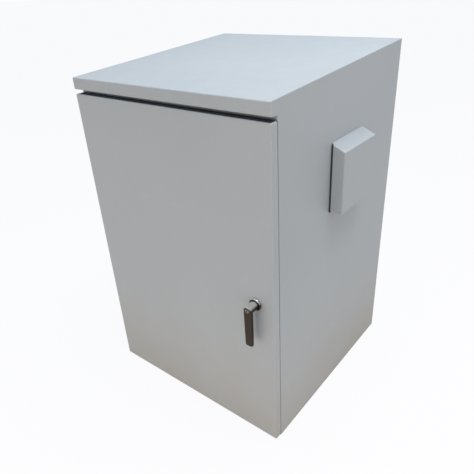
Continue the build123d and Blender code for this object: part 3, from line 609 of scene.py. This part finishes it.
class Palette:
    """One of each finish."""

    def __init__(self) -> None:
        """Build the shared effects, then every finish."""
        effects = SharedEffects()
        self.coat = PowderCoat(effects)
        self.zinc = GalvanisedSheet(effects)
        self.plate = ZincPlate(effects)
        self.rubber = FoamRubber(effects)
        self.chrome = LeverCoat(effects)
        self.nickel = NickelPlug(effects)
        self.nylon = MouldedNylon(effects)
        self.fleece = FilterFleece(effects)
        self.brass = PlainBrass(effects)


def new_piece(name: str, mesh: BMesh, body: str) -> Piece:
    """Turn a mesh into a smooth piece that moves with a body.

    Args:
        name: Name of the piece.
        mesh: Mesh to use, which is freed.
        body: Body that the piece rides on.

    Returns:
        The new object.
    """
    bmesh.ops.recalc_face_normals(mesh, faces=mesh.faces)
    data = bpy.data.meshes.new(name)
    mesh.to_mesh(data)
    mesh.free()
    for face in data.polygons:
        face.use_smooth = True
    piece = bpy.data.objects.new(name, data)
    bpy.context.collection.objects.link(piece)
    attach(piece, body)
    return piece


def skin_rings(mesh: BMesh, rings: Rings, closed: bool) -> None:
    """Join rings of points into a tube.

    Args:
        mesh: Mesh to add to.
        rings: Rings of equally many points, in order.
        closed: Whether the last ring joins the first; otherwise both ends get caps.
    """
    made = [[mesh.verts.new(point) for point in ring] for ring in rings]
    count = len(made[0])
    pairs = list(zip(made, made[1:]))
    if closed:
        pairs.append((made[-1], made[0]))
    for first, second in pairs:
        for i in range(count):
            j = (i + 1) % count
            mesh.faces.new((first[i], first[j], second[j], second[i]))
    if not closed:
        mesh.faces.new(made[0])
        mesh.faces.new(made[-1])


def tube_piece(name: str, tubes: Sequence[Rings], body: str, closed: bool = False) -> Piece:
    """Piece that is made of tubes.

    Args:
        name: Name of the piece.
        tubes: Rings of each tube.
        body: Body that the piece rides on.
        closed: Whether each tube runs back into its own start.

    Returns:
        The new object.
    """
    mesh = bmesh.new()
    for rings in tubes:
        skin_rings(mesh, rings, closed)
    return new_piece(name, mesh, body)


def evenly(start: float, end: float, spans: int) -> list[float]:
    """Places from start to end, equally far apart."""
    return [start + (end - start) * step / spans for step in range(spans + 1)]


def mirrored(half: Sequence[Point2]) -> list[Point2]:
    """Half a profile, up to its middle, joined with its mirror image."""
    return [*half, *((-u, v) for u, v in reversed(half[:-1]))]


def rounded_loop(width: float, height: float, radius: float, steps: int) -> list[tuple[Point2, Point2]]:
    """Places round a rectangle with round corners, with the outward direction at each.

    Args:
        width: Full width.
        height: Full height.
        radius: Corner radius.
        steps: Spans in each corner.

    Returns:
        Pairs of place and outward direction.
    """
    places = []
    for quarter, (sx, sy) in enumerate(((1, 1), (-1, 1), (-1, -1), (1, -1))):
        centre = (sx * (width / 2 - radius), sy * (height / 2 - radius))
        for step in range(steps + 1):
            angle = math.pi / 2 * (quarter + step / steps)
            out = (math.cos(angle), math.sin(angle))
            places.append(((centre[0] + radius * out[0], centre[1] + radius * out[1]), out))
    return places


def threaded_rod(place: Matrix, diameter: float, length: float, pitch: float) -> Rings:
    """Stud with a real helical thread and a chamfered tip, standing on the place's origin.

    Args:
        place: Placement whose Z runs along the stud.
        diameter: Outer diameter.
        length: Length from the root to the tip.
        pitch: Distance between two turns.

    Returns:
        Its rings, from the root to the tip.
    """
    sides = 18
    rings_per_turn = 4
    depth_share = 0.54
    depth = depth_share * pitch
    rings = []
    spans = max(2, round(length / pitch * rings_per_turn))
    for along in evenly(0.0, length, spans):
        tip = max(0.0, along - (length - depth))
        ring = []
        for side in range(sides):
            turn = side / sides
            phase = (along / pitch - turn) % 1.0
            cut = depth * (1.0 - abs(2.0 * phase - 1.0))
            radius = diameter / 2 - max(cut, tip)
            angle = math.tau * turn
            ring.append(place @ Vector((radius * math.cos(angle), radius * math.sin(angle), along)))
        rings.append(ring)
    return rings


def node_box(name: str) -> tuple[Vector, Vector]:
    """Lowest and highest corners of a node at rest."""
    low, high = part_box(name)
    return Vector(low), Vector(high)


def loose_islands(piece: Piece) -> list[tuple[Vector, Vector]]:
    """Boxes of the separate solids in a piece.

    Args:
        piece: Piece whose mesh is looked through.

    Returns:
        Lowest and highest corner of each solid.
    """
    mesh = bmesh.new()
    mesh.from_mesh(piece.data)
    bmesh.ops.remove_doubles(mesh, verts=mesh.verts, dist=0.002 * MM)
    left = set(mesh.verts)
    boxes = []
    for start in mesh.verts:
        if start not in left:
            continue
        left.remove(start)
        front = [start]
        island = []
        while front:
            vert = front.pop()
            island.append(vert.co.copy())
            for edge in vert.link_edges:
                other = edge.other_vert(vert)
                if other in left:
                    left.remove(other)
                    front.append(other)
        boxes.append((Vector([*map(min, zip(*island))]), Vector([*map(max, zip(*island))])))
    mesh.free()
    return boxes


def threaded_studs(node: str, name: str, body: str, facing: Facing, pitch: float) -> Piece:
    """Threaded studs in the places of a node's plain ones.

    Args:
        node: Node whose studs are replaced.
        name: Name of the new piece.
        body: Body that it rides on.
        facing: Way that the studs point.
        pitch: Thread pitch.

    Returns:
        The studs as one piece.
    """
    way = facing.value
    turn = way.to_track_quat("Z", "X").to_matrix().to_4x4()
    rods = []
    for low, high in loose_islands(frame["nodes"][node]):
        length = abs((high - low).dot(way))
        root = (low + high) / 2 - way * (length / 2)
        rods.append(threaded_rod(Matrix.Translation(root) @ turn, high.x - low.x, length, pitch))
    studs = tube_piece(name, rods, body)
    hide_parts(node)
    return studs


@dataclass
class VentAssembly:
    """Hood, its foam strip, and the mesh and filter behind it."""

    strip_width: float = 12.0 * MM
    strip_round: float = 1.1 * MM
    strip_bends: tuple[Point2, ...] = ((1.0, 0.6), (0.86, 0.86), (0.6, 1.0))
    wire_pitch: float = 4.0 * MM
    wire_radius: float = 0.19 * MM
    wire_sides: int = 5
    fleece_cells: int = 44
    fleece_lift: float = 0.5 * MM
    fleece_lumps: float = 160.0
    fleece_edge_loss: float = 0.55
    fleece_edge_fade: float = 3.0 * MM

    def dress(self, look: Palette) -> None:
        """Dress the hood and build the strip, the mesh and the mat.

        Args:
            look: Finishes to pick from.
        """
        look.coat.dress_nodes("vent_hood")
        look.zinc.dress_nodes("filter_frame")
        look.plate.dress_nodes("hood_screws", "filter_screws")
        look.rubber.dress(self.foam_strip())
        look.plate.dress(self.woven_mesh())
        look.fleece.dress(self.fleece_mat())

    def foam_strip(self) -> Piece:
        """Foam strip round three sides of the hood, with rounded faces.

        Returns:
            The strip, which stands for the gasket node.
        """
        low, high = node_box("hood_gasket")
        half = self.strip_width / 2
        depth = high.x - low.x
        left, right = low.y + half, high.y - half
        top = high.z - half
        stations = [((left, low.z), (-1.0, 0.0)), ((left, top - half), (-1.0, 0.0))]
        stations += [((left, top), (-u, v)) for u, v in self.strip_bends]
        stations += [((left + half, top), (0.0, 1.0)), ((right - half, top), (0.0, 1.0))]
        stations += [((right, top), out) for out in reversed(self.strip_bends)]
        stations += [((right, top - half), (1.0, 0.0)), ((right, low.z), (1.0, 0.0))]
        section = self.round_section(half, depth)
        rings = []
        for (y, z), (out_y, out_z) in self.refine(stations):
            rings.append([Vector((low.x + v, y + out_y * u, z + out_z * u)) for u, v in section])
        strip = tube_piece("hood_foam_strip", [rings], "cabinet")
        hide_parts("hood_gasket")
        return strip

    @staticmethod
    def refine(stations: list[tuple[Point2, Point2]]) -> Iterable[tuple[Point2, Point2]]:
        """Add places on long straight runs.

        Args:
            stations: Pairs of place and direction.

        Yields:
            The same pairs with more places between those far apart.
        """
        spacing = 8.0 * MM
        for (first, out), (second, out_next) in zip(stations, stations[1:]):
            gap = math.dist(first, second)
            spans = max(1, int(gap / spacing))
            for share in evenly(0.0, 1.0, spans)[:-1]:
                place = tuple(a + (b - a) * share for a, b in zip(first, second))
                way = tuple(a + (b - a) * share for a, b in zip(out, out_next))
                yield place, way
        yield stations[-1]

    def round_section(self, half: float, depth: float) -> list[Point2]:
        """Section of a foam strip with rounded corners.

        Args:
            half: Half of its width.
            depth: Its thickness.

        Returns:
            Points across and through the strip.
        """
        points = []
        spans = 3
        radius = self.strip_round
        centres = ((half - radius, depth - radius), (radius - half, depth - radius))
        centres += ((radius - half, radius), (half - radius, radius))
        for quarter, (u, v) in enumerate(centres):
            for share in evenly(0.0, 1.0, spans):
                angle = math.pi / 2 * (quarter + share)
                points.append((u + radius * math.cos(angle), v + radius * math.sin(angle)))
        return points

    def woven_mesh(self) -> Piece:
        """Plain-woven wire mesh.

        Returns:
            The mesh, which stands for the insect mesh node.
        """
        low, high = node_box("insect_mesh")
        middle_x = (low.x + high.x) / 2
        wires = []
        count = int((high.y - low.y) / self.wire_pitch)
        span = count * self.wire_pitch
        start_y = (low.y + high.y - span) / 2 + self.wire_pitch / 2
        start_z = (low.z + high.z - span) / 2 + self.wire_pitch / 2
        for wire in range(count):
            for upright in (False, True):
                rings = []
                for step in range(2 * count + 1):
                    along = (step - 1) * self.wire_pitch / 2
                    crossing = (step - 1) / 2 + wire + (1 if upright else 0)
                    lift = self.wire_radius * math.cos(math.pi * crossing)
                    across = wire * self.wire_pitch
                    shift = (across, along) if upright else (along, across)
                    centre = Vector((middle_x + lift, start_y + shift[0], start_z + shift[1]))
                    rings.append(self.wire_ring(centre, upright))
                wires.append(rings)
        woven = tube_piece("woven_insect_mesh", wires, "cabinet")
        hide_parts("insect_mesh")
        return woven

    def wire_ring(self, centre: Vector, upright: bool) -> list[Vector]:
        """Points round a wire.

        Args:
            centre: Middle of the wire.
            upright: Whether the wire runs along Z instead of Y.

        Returns:
            The points.
        """
        ring = []
        for side in range(self.wire_sides):
            angle = math.tau * side / self.wire_sides
            out = math.sin(angle) * self.wire_radius
            offset = (0, out, 0) if upright else (0, 0, out)
            ring.append(centre + Vector((math.cos(angle) * self.wire_radius, 0, 0)) + Vector(offset))
        return ring

    def fleece_mat(self) -> Piece:
        """Lofty filter mat with soft edges.

        Returns:
            The mat, which stands for the filter mat node.
        """
        low, high = node_box("filter_mat")
        cells = self.fleece_cells
        half_depth = (high.x - low.x) / 2
        middle_x = (low.x + high.x) / 2
        size_y, size_z = high.y - low.y, high.z - low.z
        mesh = bmesh.new()
        sheets = []
        for side in (-1, 1):
            grid = []
            for row in range(cells + 1):
                line = []
                for column in range(cells + 1):
                    y = low.y + size_y * column / cells
                    z = low.z + size_z * row / cells
                    edge = min(y - low.y, high.y - y, z - low.z, high.z - z)
                    full = 1.0 - self.fleece_edge_loss * math.exp(-edge / self.fleece_edge_fade)
                    lump = noise.noise(Vector((y, z, side)) * self.fleece_lumps) * self.fleece_lift
                    x = middle_x + side * (half_depth - self.fleece_lift) * full + lump * full
                    line.append(mesh.verts.new((x, y, z)))
                grid.append(line)
            sheets.append(grid)
            for row in range(cells):
                for column in range(cells):
                    corners = (grid[row][column], grid[row][column + 1])
                    mesh.faces.new(corners + (grid[row + 1][column + 1], grid[row + 1][column]))
        first, second = (self.border(grid) for grid in sheets)
        for i in range(len(first)):
            j = (i + 1) % len(first)
            mesh.faces.new((first[i], first[j], second[j], second[i]))
        mat = new_piece("lofted_filter_mat", mesh, "cabinet")
        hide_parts("filter_mat")
        return mat

    @staticmethod
    def border(grid: list[list[bmesh.types.BMVert]]) -> list[bmesh.types.BMVert]:
        """Outer points of a square grid.

        Args:
            grid: Rows of points.

        Returns:
            The outer points, in order round the grid.
        """
        up = [line[-1] for line in grid[1:-1]]
        down = [line[0] for line in reversed(grid[1:-1])]
        return grid[0] + up + list(reversed(grid[-1])) + down


@dataclass
class DoorAssembly:
    """Door panel, its seals, rails and the concealed hinges."""

    gasket_width: float = 8.0 * MM
    gasket_corner: float = 8.0 * MM
    gasket_groove: float = 0.5 * MM
    gasket_crown: tuple[Point2, ...] = ((1.0, 0.0), (1.0, 0.55), (0.88, 0.82), (0.6, 0.97), (0.35, 1.0))
    groove_wall: Point2 = (0.15, 0.8)
    stud_pitch: float = 0.8 * MM
    washer_bore: float = 11.25 * MM
    washer_round: float = 0.3 * MM
    strip_height: float = 2.6 * MM
    strip_from_front: float = 4.5 * MM
    strip_depth: float = 13.0 * MM
    strip_hinge_inset: float = 16.0 * MM
    strip_lock_inset: float = 4.0 * MM
    strip_crown: tuple[Point2, ...] = ((-1.0, 0.0), (-1.0, 0.7), (-0.9, 0.95), (0.0, 1.0))
    strip_bow: float = 0.2 * MM
    strip_bow_scale: float = 30.0
    tape_height: float = 1.7 * MM
    tape_width: float = 11.0 * MM
    tape_inset: float = 0.1 * MM
    tape_joint: float = 0.3 * MM
    tape_soft_share: float = 0.3
    tape_hinge_gap: float = 60.0 * MM
    hinge_levels: tuple[str, ...] = ("lower", "middle", "upper")

    def dress(self, look: Palette) -> None:
        """Dress the door's sheets and fasteners and build its seals and studs.

        Args:
            look: Finishes to pick from.
        """
        look.coat.dress_nodes("door_panel")
        look.zinc.dress_nodes("door_rail_left", "door_rail_right")
        for level in self.hinge_levels:
            look.plate.dress_nodes(f"hinge_bracket_{level}", f"hinge_leaf_{level}", f"hinge_pin_{level}")
        look.plate.dress_nodes("hinge_nuts", "guide_nuts")
        # the top strip and the seam tape are dark pieces that paint the shade in the gaps round the door
        look.rubber.dress(self.gasket(), self.lock_washer(), self.painted_shade_strip(), self.seam_shade_tape())
        studs = threaded_studs("door_studs", "threaded_door_studs", "door", Facing.BACK, self.stud_pitch)
        look.plate.dress(studs)

    def gasket(self) -> Piece:
        """Foamed gasket with a crown pressed in along its middle.

        Returns:
            The gasket, which stands for the door gasket node.
        """
        low, high = node_box("door_gasket")
        middle = (low + high) / 2
        half = self.gasket_width / 2
        depth = high.y - low.y
        wall, drop = self.groove_wall
        profile = [(u * half, v * depth) for u, v in self.gasket_crown]
        profile += [(wall * half, depth - drop * self.gasket_groove), (0.0, depth - self.gasket_groove)]
        section = mirrored(profile)
        width = high.x - low.x - self.gasket_width
        height = high.z - low.z - self.gasket_width
        loop = rounded_loop(width, height, self.gasket_corner - half, steps=6)
        rings = []
        for (x, z), (out_x, out_z) in loop:
            place = Vector((middle.x + x, low.y, middle.z + z))
            rings.append([place + Vector((out_x * u, v, out_z * u)) for u, v in section])
        seal = tube_piece("foamed_door_gasket", [rings], "door", closed=True)
        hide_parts("door_gasket")
        return seal

    def painted_shade_strip(self) -> Piece:
        """Black foam strip glued on the door's top fold, under the roof's front edge, a dark piece that
        paints the shade in the gap there.

        Returns:
            The strip.
        """
        low, high = node_box("door_panel")
        front = low.y + self.strip_from_front
        half = self.strip_depth / 2
        section = [(u * half, v) for u, v in mirrored(self.strip_crown)]
        spans = 60
        rings = []
        for x in evenly(low.x + self.strip_hinge_inset, high.x - self.strip_lock_inset, spans):
            wave = noise.noise(Vector((x * self.strip_bow_scale, 0, 0)))
            height = self.strip_height + self.strip_bow * wave
            rings.append([Vector((x, front + half + u, high.z + v * height)) for u, v in section])
        # dark strip that paints the shade in the gap under the roof's front edge
        return tube_piece("door_rain_strip", [rings], "door")

    def seam_shade_tape(self) -> Piece:
        """Black foam tape on the back of the door's folds, along its lock side and its bottom, a dark piece
        that paints the shade in the seams there.

        Returns:
            The tape as one piece.
        """
        low, high = node_box("door_panel")
        tall = self.tape_height
        soft = self.tape_soft_share * tall
        edge, inner = self.tape_inset, self.tape_inset + self.tape_width
        profile = [(edge, 0.0), (edge, tall - soft), (edge + soft, tall)]
        profile += [(inner - soft, tall), (inner, tall - soft), (inner, 0.0)]
        spans = 40
        heights = evenly(low.z + inner + self.tape_joint, high.z - edge, spans)
        lengths = evenly(low.x + self.tape_hinge_gap, high.x - edge, spans)
        side = [[Vector((high.x - d, high.y + h, z)) for d, h in profile] for z in heights]
        bottom = [[Vector((x, high.y + h, low.z + d)) for d, h in profile] for x in lengths]
        # dark tape that paints the shade seen through the door's seams
        return tube_piece("door_edge_tape", [side, bottom], "door")

    def lock_washer(self) -> Piece:
        """Soft washer that seals the lock housing against the door.

        Returns:
            The washer, which stands for the lock washer node.
        """
        low, high = node_box("lock_washer")
        lock_middle = (low + high) / 2
        outer = (high.x - low.x) / 2
        inner = self.washer_bore
        soft = self.washer_round
        section = [(inner, low.y + soft), (inner + soft, low.y), (outer - soft, low.y), (outer, low.y + soft)]
        section += [(outer, high.y - soft), (outer - soft, high.y)]
        section += [(inner + soft, high.y), (inner, high.y - soft)]
        sides = 72
        rings = []
        for side in range(sides):
            angle = math.tau * side / sides
            out = Vector((math.cos(angle), 0, math.sin(angle)))
            rings.append([Vector((lock_middle.x, y, lock_middle.z)) + out * radius for radius, y in section])
        washer = tube_piece("soft_lock_washer", [rings], "door", closed=True)
        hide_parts("lock_washer")
        return washer


@dataclass
class LatchAssembly:
    """Lever, key cylinder, cam, rods, rollers and guides."""

    ends: tuple[str, ...] = ("upper", "lower")

    def dress(self, look: Palette) -> None:
        """Dress the pieces of the lock and the rod latch.

        Args:
            look: Finishes to pick from.
        """
        look.chrome.dress_nodes("lock_housing", "handle_lever")
        look.nickel.dress_nodes("lock_plug")
        look.plate.dress_nodes("lock_nut", "latch_cam", "cam_screw", "drive_pins")
        for end in self.ends:
            look.plate.dress_nodes(f"{end}_rod", f"{end}_roller_pin")
            look.nylon.dress_nodes(f"{end}_roller")
        look.nylon.dress_nodes("rod_guides")


@dataclass
class Enclosure:
    """Body shell, roof, door frame, floor, mounting plate and the earth point."""

    seal_border: float = 20.0 * MM
    seal_corner: float = 8.0 * MM
    plate_stud_pitch: float = 1.25 * MM

    def dress(self, look: Palette) -> None:
        """Dress the sheets and fasteners and build the seal and the studs.

        Args:
            look: Finishes to pick from.
        """
        look.coat.dress_nodes("body_shell", "roof_sheet", "door_frame_top_rail", "door_frame_bottom_rail")
        look.zinc.dress_nodes("floor_pan", "cable_entry_plate", "mounting_plate")
        look.plate.dress_nodes("cable_entry_screws", "mounting_plate_nuts")
        look.brass.dress_nodes("earth_nut", "earth_washer")
        pitch = self.plate_stud_pitch
        studs = threaded_studs("mounting_plate_studs", "threaded_plate_studs", "cabinet", Facing.FRONT, pitch)
        look.plate.dress(studs)
        look.brass.dress(threaded_studs("earth_stud", "threaded_earth_stud", "cabinet", Facing.UP, pitch))
        look.rubber.dress(self.entry_seal())

    def entry_seal(self) -> Piece:
        """Rubber frame pressed under the cable entry plate.

        Returns:
            The seal, which stands for the cable entry seal node.
        """
        low, high = node_box("cable_entry_seal")
        middle = (low + high) / 2
        size = high - low
        inner_x = size.x / 2 - self.seal_border
        inner_y = size.y / 2 - self.seal_border
        shares = [(0.0, 0.25), (0.0, 0.75), (0.02, 1.0), (0.98, 1.0)]
        shares += [(1.0, 0.75), (1.0, 0.25), (0.98, 0.0), (0.02, 0.0)]
        base = Vector((middle.x, middle.y, low.z))
        rings = []
        for (x, y), _ in rounded_loop(size.x, size.y, self.seal_corner, steps=5):
            outer = Vector((x, y, 0))
            inner = Vector((max(-inner_x, min(inner_x, x)), max(-inner_y, min(inner_y, y)), 0))
            rings.append([base + outer.lerp(inner, t) + Vector((0, 0, v * size.z)) for t, v in shares])
        seal = tube_piece("rubber_entry_seal", [rings], "cabinet", closed=True)
        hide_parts("cable_entry_seal")
        return seal


@dataclass
class SoftLight:
    """Square area light: side in metres, power in watts."""

    name: str
    place: Point3
    target: Point3
    side: float
    power: float
    tint: Colour

    def build(self) -> None:
        """Put the light in its place, facing its target."""
        data = bpy.data.lights.new(self.name, "AREA")
        data.shape = "SQUARE"
        data.size = self.side
        data.energy = self.power
        data.color = self.tint
        light = bpy.data.objects.new(self.name, data)
        light.location = self.place
        light.rotation_mode = "QUATERNION"
        aim = Vector(self.target) - Vector(self.place)
        light.rotation_quaternion = aim.to_track_quat("-Z", "Y")
        bpy.context.scene.collection.objects.link(light)


class Studio:
    """Pale floor, soft lights, white surroundings and the photo's camera."""

    eye = Vector((0.79703, -1.01608, 1.10341))
    look_right = Vector((0.78149796, 0.6214487, -0.05533934))
    look_up = Vector((-0.26210044, 0.4075009, 0.87478362))
    look_back = Vector((0.56618398, -0.66913715, 0.4813431))
    lens_mm = 36.447
    sensor_mm = 36.0
    shift = (0.00844, 0.00243)
    near_clip = 0.05
    far_clip = 100.0
    floor_drop = 0.0006
    floor_side = 90.0
    floor_spans = 8
    floor_colour: Colour = (0.68, 0.59, 0.50)
    floor_mottle = 0.97
    floor_roughness = 0.9
    sky_colour: Colour = (0.82, 0.95, 1.12)
    sky_level = 0.53
    white: Colour = (0.975, 0.98, 1.0)
    floor_glow = 1.045
    floor_glow_share = 0.9
    footprint_half = 0.28
    card_tint: Colour = (1.0, 0.87, 0.74)
    lights: tuple[SoftLight, ...] = (
        SoftLight("overhead_softbox", (0.48, 0.0, 2.7), (0.1, 0.0, 0.9), 1.4, 44.5, (0.95, 0.98, 1.0)),
        SoftLight("front_low_card", (0.1, -2.0, 0.12), (0.0, 0.0, 0.1), 1.6, 18.0, card_tint),
        SoftLight("right_low_card", (2.2, -0.3, 0.12), (0.3, 0.0, 0.0), 1.2, 8.5, card_tint),
    )

    def build(self) -> None:
        """Set up everything round the object."""
        bpy.context.scene.view_settings.view_transform = "Standard"
        self.camera()
        self.surroundings()
        self.floor()
        for light in self.lights:
            light.build()

    def camera(self) -> None:
        """Camera that matches the photo's view."""
        data = bpy.data.cameras.new("photo_camera")
        data.sensor_width = self.sensor_mm
        data.lens = self.lens_mm
        data.shift_x, data.shift_y = self.shift
        data.clip_start = self.near_clip
        data.clip_end = self.far_clip
        camera = bpy.data.objects.new("photo_camera", data)
        turn = Matrix((self.look_right, self.look_up, self.look_back)).transposed()
        camera.matrix_world = Matrix.Translation(self.eye) @ turn.to_4x4()
        bpy.context.scene.collection.objects.link(camera)
        bpy.context.scene.camera = camera

    @staticmethod
    def seen_directly(graph: Graph) -> Socket:
        """Whether a ray comes from the camera, a mirror-like surface or through glass.

        Args:
            graph: Tree of the material that asks.

        Returns:
            1 for such a ray and 0 for any other.
        """
        path = graph.add("LightPath").outputs
        direct = graph.calc("MAXIMUM", path["Is Camera Ray"], path["Is Glossy Ray"])
        return graph.calc("MAXIMUM", direct, path["Is Transmission Ray"])

    def surroundings(self) -> None:
        """White backdrop for the camera and a cool, even sky for the light."""
        world = bpy.data.worlds.new("studio_world")
        bpy.context.scene.world = world
        world.use_nodes = True
        graph = Graph(world.node_tree)
        sky = world.node_tree.nodes["Background"]
        sky.inputs["Color"].default_value = (*self.sky_colour, 1.0)
        sky.inputs["Strength"].default_value = self.sky_level
        white = graph.add("Background", {"Color": self.white, "Strength": 1.0})
        camera_ray = graph.add("LightPath").outputs["Is Camera Ray"]
        mixed = graph.add("MixShader", {0: camera_ray, 1: sky.outputs[0], 2: white.outputs[0]})
        graph.feed(world.node_tree.nodes["World Output"].inputs["Surface"], mixed.outputs[0])

    def outside_footprint(self, graph: Graph, where: Socket) -> Socket:
        """Whether a place on the floor isn't under the object.

        Args:
            graph: The floor's node tree.
            where: Coordinates on the floor.

        Returns:
            1 outside the footprint and 0 inside it.
        """
        parts = graph.add("SeparateXYZ", {0: where}).outputs
        across = graph.calc("ABSOLUTE", parts["X"])
        along = graph.calc("ABSOLUTE", parts["Y"])
        return graph.calc("GREATER_THAN", graph.calc("MAXIMUM", across, along), self.footprint_half)

    def floor(self) -> None:
        """Pale floor that fades into the white backdrop but keeps a soft shadow."""
        material = bpy.data.materials.new("pale_floor")
        material.use_nodes = True
        tree = material.node_tree
        graph = Graph(tree)
        shader = tree.nodes["Principled BSDF"]
        where = graph.place()
        tone = graph.remap(graph.noise(where, scale=2.0, detail=4.0), 0.3, 0.7)
        darker = tuple(self.floor_mottle * channel for channel in self.floor_colour)
        graph.feed(shader.inputs["Base Color"], graph.blend(tone, darker, self.floor_colour))
        graph.feed(shader.inputs["Roughness"], self.floor_roughness)
        glow = graph.add("Emission", {"Color": self.white, "Strength": self.floor_glow})
        share = graph.times(self.seen_directly(graph), self.floor_glow_share)
        share = graph.times(share, self.outside_footprint(graph, where))
        mixed = graph.add("MixShader", {0: share, 1: shader.outputs[0], 2: glow.outputs[0]})
        graph.feed(tree.nodes["Material Output"].inputs["Surface"], mixed.outputs[0])
        mesh = bmesh.new()
        spans = self.floor_spans
        bmesh.ops.create_grid(mesh, x_segments=spans, y_segments=spans, size=self.floor_side / 2)
        data = bpy.data.meshes.new("studio_floor")
        mesh.to_mesh(data)
        mesh.free()
        data.materials.append(material)
        ground = bpy.data.objects.new("studio_floor", data)
        ground.location = (0, 0, CAD_BOX[0].z - self.floor_drop)
        bpy.context.scene.collection.objects.link(ground)


def main() -> None:
    """Dress the frame, build the soft and fine pieces, and set up the studio."""
    logging.basicConfig(level=logging.INFO)
    look = Palette()
    for assembly in (Enclosure(), VentAssembly(), DoorAssembly(), LatchAssembly()):
        assembly.dress(look)
    Studio().build()
    for piece in bpy.data.objects:
        if piece.type == "MESH" and not piece.hide_render:
            LOG.info("%s: %d faces", piece.name, len(piece.data.polygons))


if __name__ == "__main__":
    main()
